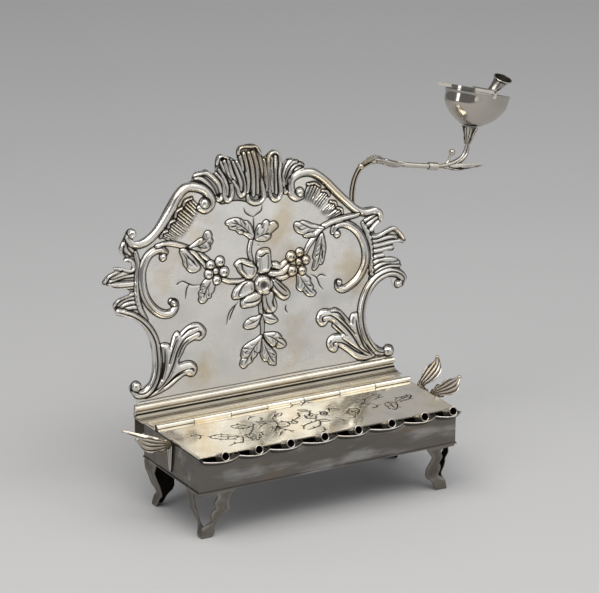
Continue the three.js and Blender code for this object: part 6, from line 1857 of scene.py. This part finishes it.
def servant_arm():
    wide, deep = TANG_HALF
    arm_foot = ARM[0][1]
    around = deep + ARM_GAP
    forms = [
        arm_block(wide, deep, deep, TANG_FOOT, arm_foot),
        arm_block(
            SHOULDER_HALF, around, around + SHOULDER_BEHIND, SLEEVE_TOP + ARM_GAP, arm_foot + ARM_GAP),
    ]
    for first, last, *fluting in ARM_RUNS:
        forms.append(rib(ARM[first:last + 1], ARM_HALVES[first:last + 1], *fluting))
    forms += [ball((x, ARM_BEHIND, up), radius, leaning) for x, up, radius in ARM_KNOBS]
    forms += [arm_leaf(points, halves, ARM_LEAF_LOOK, ARM_LEAF_BEHIND) for points, halves in ARM_LEAVES]
    finished("servant_arm", forms, cast, "servant_light", CAST_SHARP)


def servant_branch():
    forms = []
    for points, halves in STEM_STRANDS:
        forms.append(rib(points, [(half, half) for half in halves], STRAND_FLUTES, STRAND_GROOVE))
    points, halves = BUD_STEM
    forms.append(rib(points, [(half, half) for half in halves]))
    forms.append(ball((BUD[0], ARM_BEHIND, BUD[1]), BUD[2], leaning))
    for points, halves, behind in BRANCH_LEAVES:
        forms.append(arm_leaf(points, halves, BRANCH_LEAF_LOOK, behind))
    finished("servant_branch", forms, cast, "servant_light", CAST_SHARP)


def in_bowl(points):
    """Points in the drooping bowl's own frame, from the foot of its calyx, in space."""
    cos, sin = math.cos(BOWL_DROOP), math.sin(BOWL_DROOP)
    x, y, z = np.asarray(points, float).T
    across = BOWL_FOOT[0] + BOWL_GAP * sin + x * cos + z * sin
    up = BOWL_FOOT[1] + BOWL_GAP * cos - x * sin + z * cos
    return leaning(np.column_stack([across, ARM_BEHIND + y, up]))


def servant_calyx():
    forms = [placed(skin(turned(CALYX_PROFILE, CALYX_SIDES), dark=CALYX_DARK), in_bowl)]
    halves = [half for _, _, half, _ in SEPAL_POINTS]
    for turn in angles_round(SEPALS) + math.pi / SEPALS:
        out = np.array([math.cos(turn), math.sin(turn), 0])
        spine = [reach * out + [0, 0, up] for reach, up, _, _ in SEPAL_POINTS]
        looks = [out + [0, 0, tilt] for _, _, _, tilt in SEPAL_POINTS]
        forms.append(placed(blade(spine, halves, looks, **SEPAL), in_bowl))
    finished("servant_calyx", forms, cast, "servant_light", CAST_SHARP)


def bowl_ring(up, length, width, forward, inset):
    """A ring of the bowl, pinched towards the spout, with its size as shares of the rim's."""
    angle = angles_round(BOWL_SIDES)
    cos, sin = np.cos(angle), np.sin(angle)
    return np.column_stack([
        BOWL_FORWARD + forward * BOWL_LENGTH + cos * (BOWL_LENGTH / 2 * length - inset),
        sin * (BOWL_WIDTH / 2 * width * (1 - BOWL_PINCH * cos) - inset),
        np.full(BOWL_SIDES, up),
    ])


def bowl_shell():
    """The bowl's inner wall from its foot to its rim, and the outer one down again."""
    rings, dark = [], []
    for down, length, width, forward, _ in BOWL_LEVELS[::-1]:
        up = BOWL_RIM - down * (BOWL_DEPTH - BOWL_SHEET)
        rings.append(bowl_ring(up, length, width, forward, BOWL_SHEET))
        dark.append([BOWL_INNER_SHADE])
    for down, length, width, forward, shade in BOWL_LEVELS:
        rings.append(bowl_ring(BOWL_RIM - down * BOWL_DEPTH, length, width, forward, 0))
        dark.append([shade])
    return placed(skin(rings, dark=np.array(dark)), in_bowl)


def cover_lug(side):
    """The eye and the small plate under it that hold the cover's pin on one side of the bowl."""
    cos = (COVER_AT - BOWL_FORWARD) / (BOWL_LENGTH / 2)
    half = BOWL_WIDTH / 2 * (1 - BOWL_PINCH * cos) * math.sqrt(1 - cos * cos)
    start = side * half - (LUG_THICK if side > 0 else 0)
    pin_up = BOWL_RIM + COVER_LIFT
    eye = skin(turned(pipe_profile(LUG_HALF, LUG_BORE, LUG_THICK, LUG_ROUNDING), LUG_SIDES), closed=True)
    low = (COVER_AT - LUG_HALF, start, BOWL_RIM - 2 * LUG_HALF)
    high = (COVER_AT + LUG_HALF, start + LUG_THICK, pin_up - LUG_SHORT)
    return [
        placed(eye, lambda points: in_bowl(aimed(points, [COVER_AT, start, pin_up], (0, 1, 0)))),
        placed(slab(low, high), in_bowl),
    ]


def servant_bowl():
    forms = [bowl_shell()] + cover_lug(-1) + cover_lug(1)
    finished("servant_bowl", forms, bowled, "servant_light")


def servant_wick_tube():
    foot = np.array([BOWL_FORWARD + BOWL_LENGTH * TUBE_FOOT_SHARE, 0, BOWL_RIM + TUBE_FOOT_UP])
    angle = angles_round(TUBE_SIDES)
    outer, inner = [], []
    for along, front, up, radius, turn in smooth(TUBE_LEVELS, per_span=4):
        tilt = turn * TUBE_TURN
        centre = foot + TUBE_RISE * np.array([along, -front, up])
        ring = np.column_stack([
            np.cos(angle), np.sin(angle) * math.cos(tilt), np.sin(angle) * math.sin(tilt),
        ])
        outer.append(centre + TUBE_MOUTH * radius * ring)
        inner.append(centre + (TUBE_MOUTH * radius - TUBE_WALL) * ring)
    body = [TUBE_DARK] * (len(outer) - TUBE_LIP_RINGS)
    lip = [TUBE_LIP_DARK] * (TUBE_LIP_RINGS + 1)
    # The bore is painted in shade
    bore = [1] * (len(inner) - 1)
    form = placed(skin(outer + inner[::-1], True, np.array(body + lip + bore)[:, None]), in_bowl)
    finished("servant_wick_tube", [form], bowled, "servant_light")


def servant_light():
    servant_arm()
    dressed("servant_ferrule", "servant_light", cast, bevel=0.25)
    servant_branch()
    servant_calyx()
    servant_bowl()
    servant_wick_tube()
    dressed("servant_cover_pin", "servant_light", plain_painted_shade, bevel=0.12)
    dressed("servant_cover", "servant_cover", bowled, bevel=0.3)


# Stage and light
FLOOR_REACH = 4
FLOOR_COLOUR = (0.6, 0.6, 0.6)
FLOOR_ROUGHNESS = 0.7
WORLD_GREY = (0.2, 0.2, 0.21)
LIGHT_AIM = (0, 0, 0.1)
WHITE = (1, 1, 1)

# Lights: name, place, size, power and colour
LIGHTS = [
    ("overhead_light", (-0.5, -0.5, 1.8), (2, 1.3), 28, (1, 0.98, 0.95)),
    ("right_light", (1.05, -0.75, 1.65), (1.1, 1), 4.5, WHITE),
    ("front_light", (0.85, -1.35, 0.75), (1.6, 1.5), 5.8, WHITE),
    ("left_light", (-1.8, -0.5, 0.8), (0.6, 1.2), 5, WHITE),
    ("back_light", (0.9, 1.45, 0.8), (1.2, 0.9), 0.7, WHITE),
]

# Camera, solved from the box's edges in the photograph
CAMERA_AZIMUTH = math.radians(-29.986)
CAMERA_ELEVATION = math.radians(19.236)
CAMERA_ROLL = math.radians(0.629)
CAMERA_DISTANCE = 2.7471
CAMERA_LENS = 240.4
CAMERA_AIM = Vector((-0.02288, 0.01695, 0.12949))
SENSOR_WIDTH = 36


def stage():
    mesh = bpy.data.meshes.new("studio_floor")
    corners = [(FLOOR_REACH * x, FLOOR_REACH * y, 0) for x, y in ((-1, -1), (1, -1), (1, 1), (-1, 1))]
    mesh.from_pydata(corners, [], [(0, 1, 2, 3)])
    floor = bpy.data.objects.new("studio_floor", mesh)
    bpy.context.scene.collection.objects.link(floor)
    material = bpy.data.materials.new("studio_floor")
    material.use_nodes = True
    shader = material.node_tree.nodes["Principled BSDF"]
    shader.inputs["Base Color"].default_value = (*FLOOR_COLOUR, 1)
    shader.inputs["Roughness"].default_value = FLOOR_ROUGHNESS
    mesh.materials.append(material)


def softbox(name, place, size, power, colour):
    data = bpy.data.lights.new(name, "AREA")
    data.shape = "RECTANGLE"
    data.size, data.size_y = size
    data.energy = power
    data.color = colour
    lamp = bpy.data.objects.new(name, data)
    lamp.location = place
    lamp.rotation_euler = (Vector(LIGHT_AIM) - Vector(place)).to_track_quat("-Z", "Y").to_euler()
    bpy.context.scene.collection.objects.link(lamp)


def light():
    for values in LIGHTS:
        softbox(*values)
    world = bpy.data.worlds.new("studio")
    world.use_nodes = True
    world.node_tree.nodes["Background"].inputs["Color"].default_value = (*WORLD_GREY, 1)
    bpy.context.scene.world = world


def camera():
    data = bpy.data.cameras.new("camera")
    data.sensor_fit = "HORIZONTAL"
    data.sensor_width = SENSOR_WIDTH
    data.lens = CAMERA_LENS
    lens = bpy.data.objects.new("camera", data)
    out = math.cos(CAMERA_ELEVATION)
    back = Vector((
        math.sin(CAMERA_AZIMUTH) * out,
        -math.cos(CAMERA_AZIMUTH) * out,
        math.sin(CAMERA_ELEVATION),
    ))
    lens.location = CAMERA_AIM + CAMERA_DISTANCE * back
    spin = back.to_track_quat("Z", "Y").to_matrix() @ Matrix.Rotation(CAMERA_ROLL, 3, "Z")
    lens.rotation_euler = spin.to_euler()
    bpy.context.scene.collection.objects.link(lens)
    bpy.context.scene.camera = lens


plain_parts()
lid()
ledge()
moulding()
wells()
feet()
handles()
backplate()
servant_light()
stage()
light()
camera()
bpy.context.scene.view_settings.view_transform = "Standard"
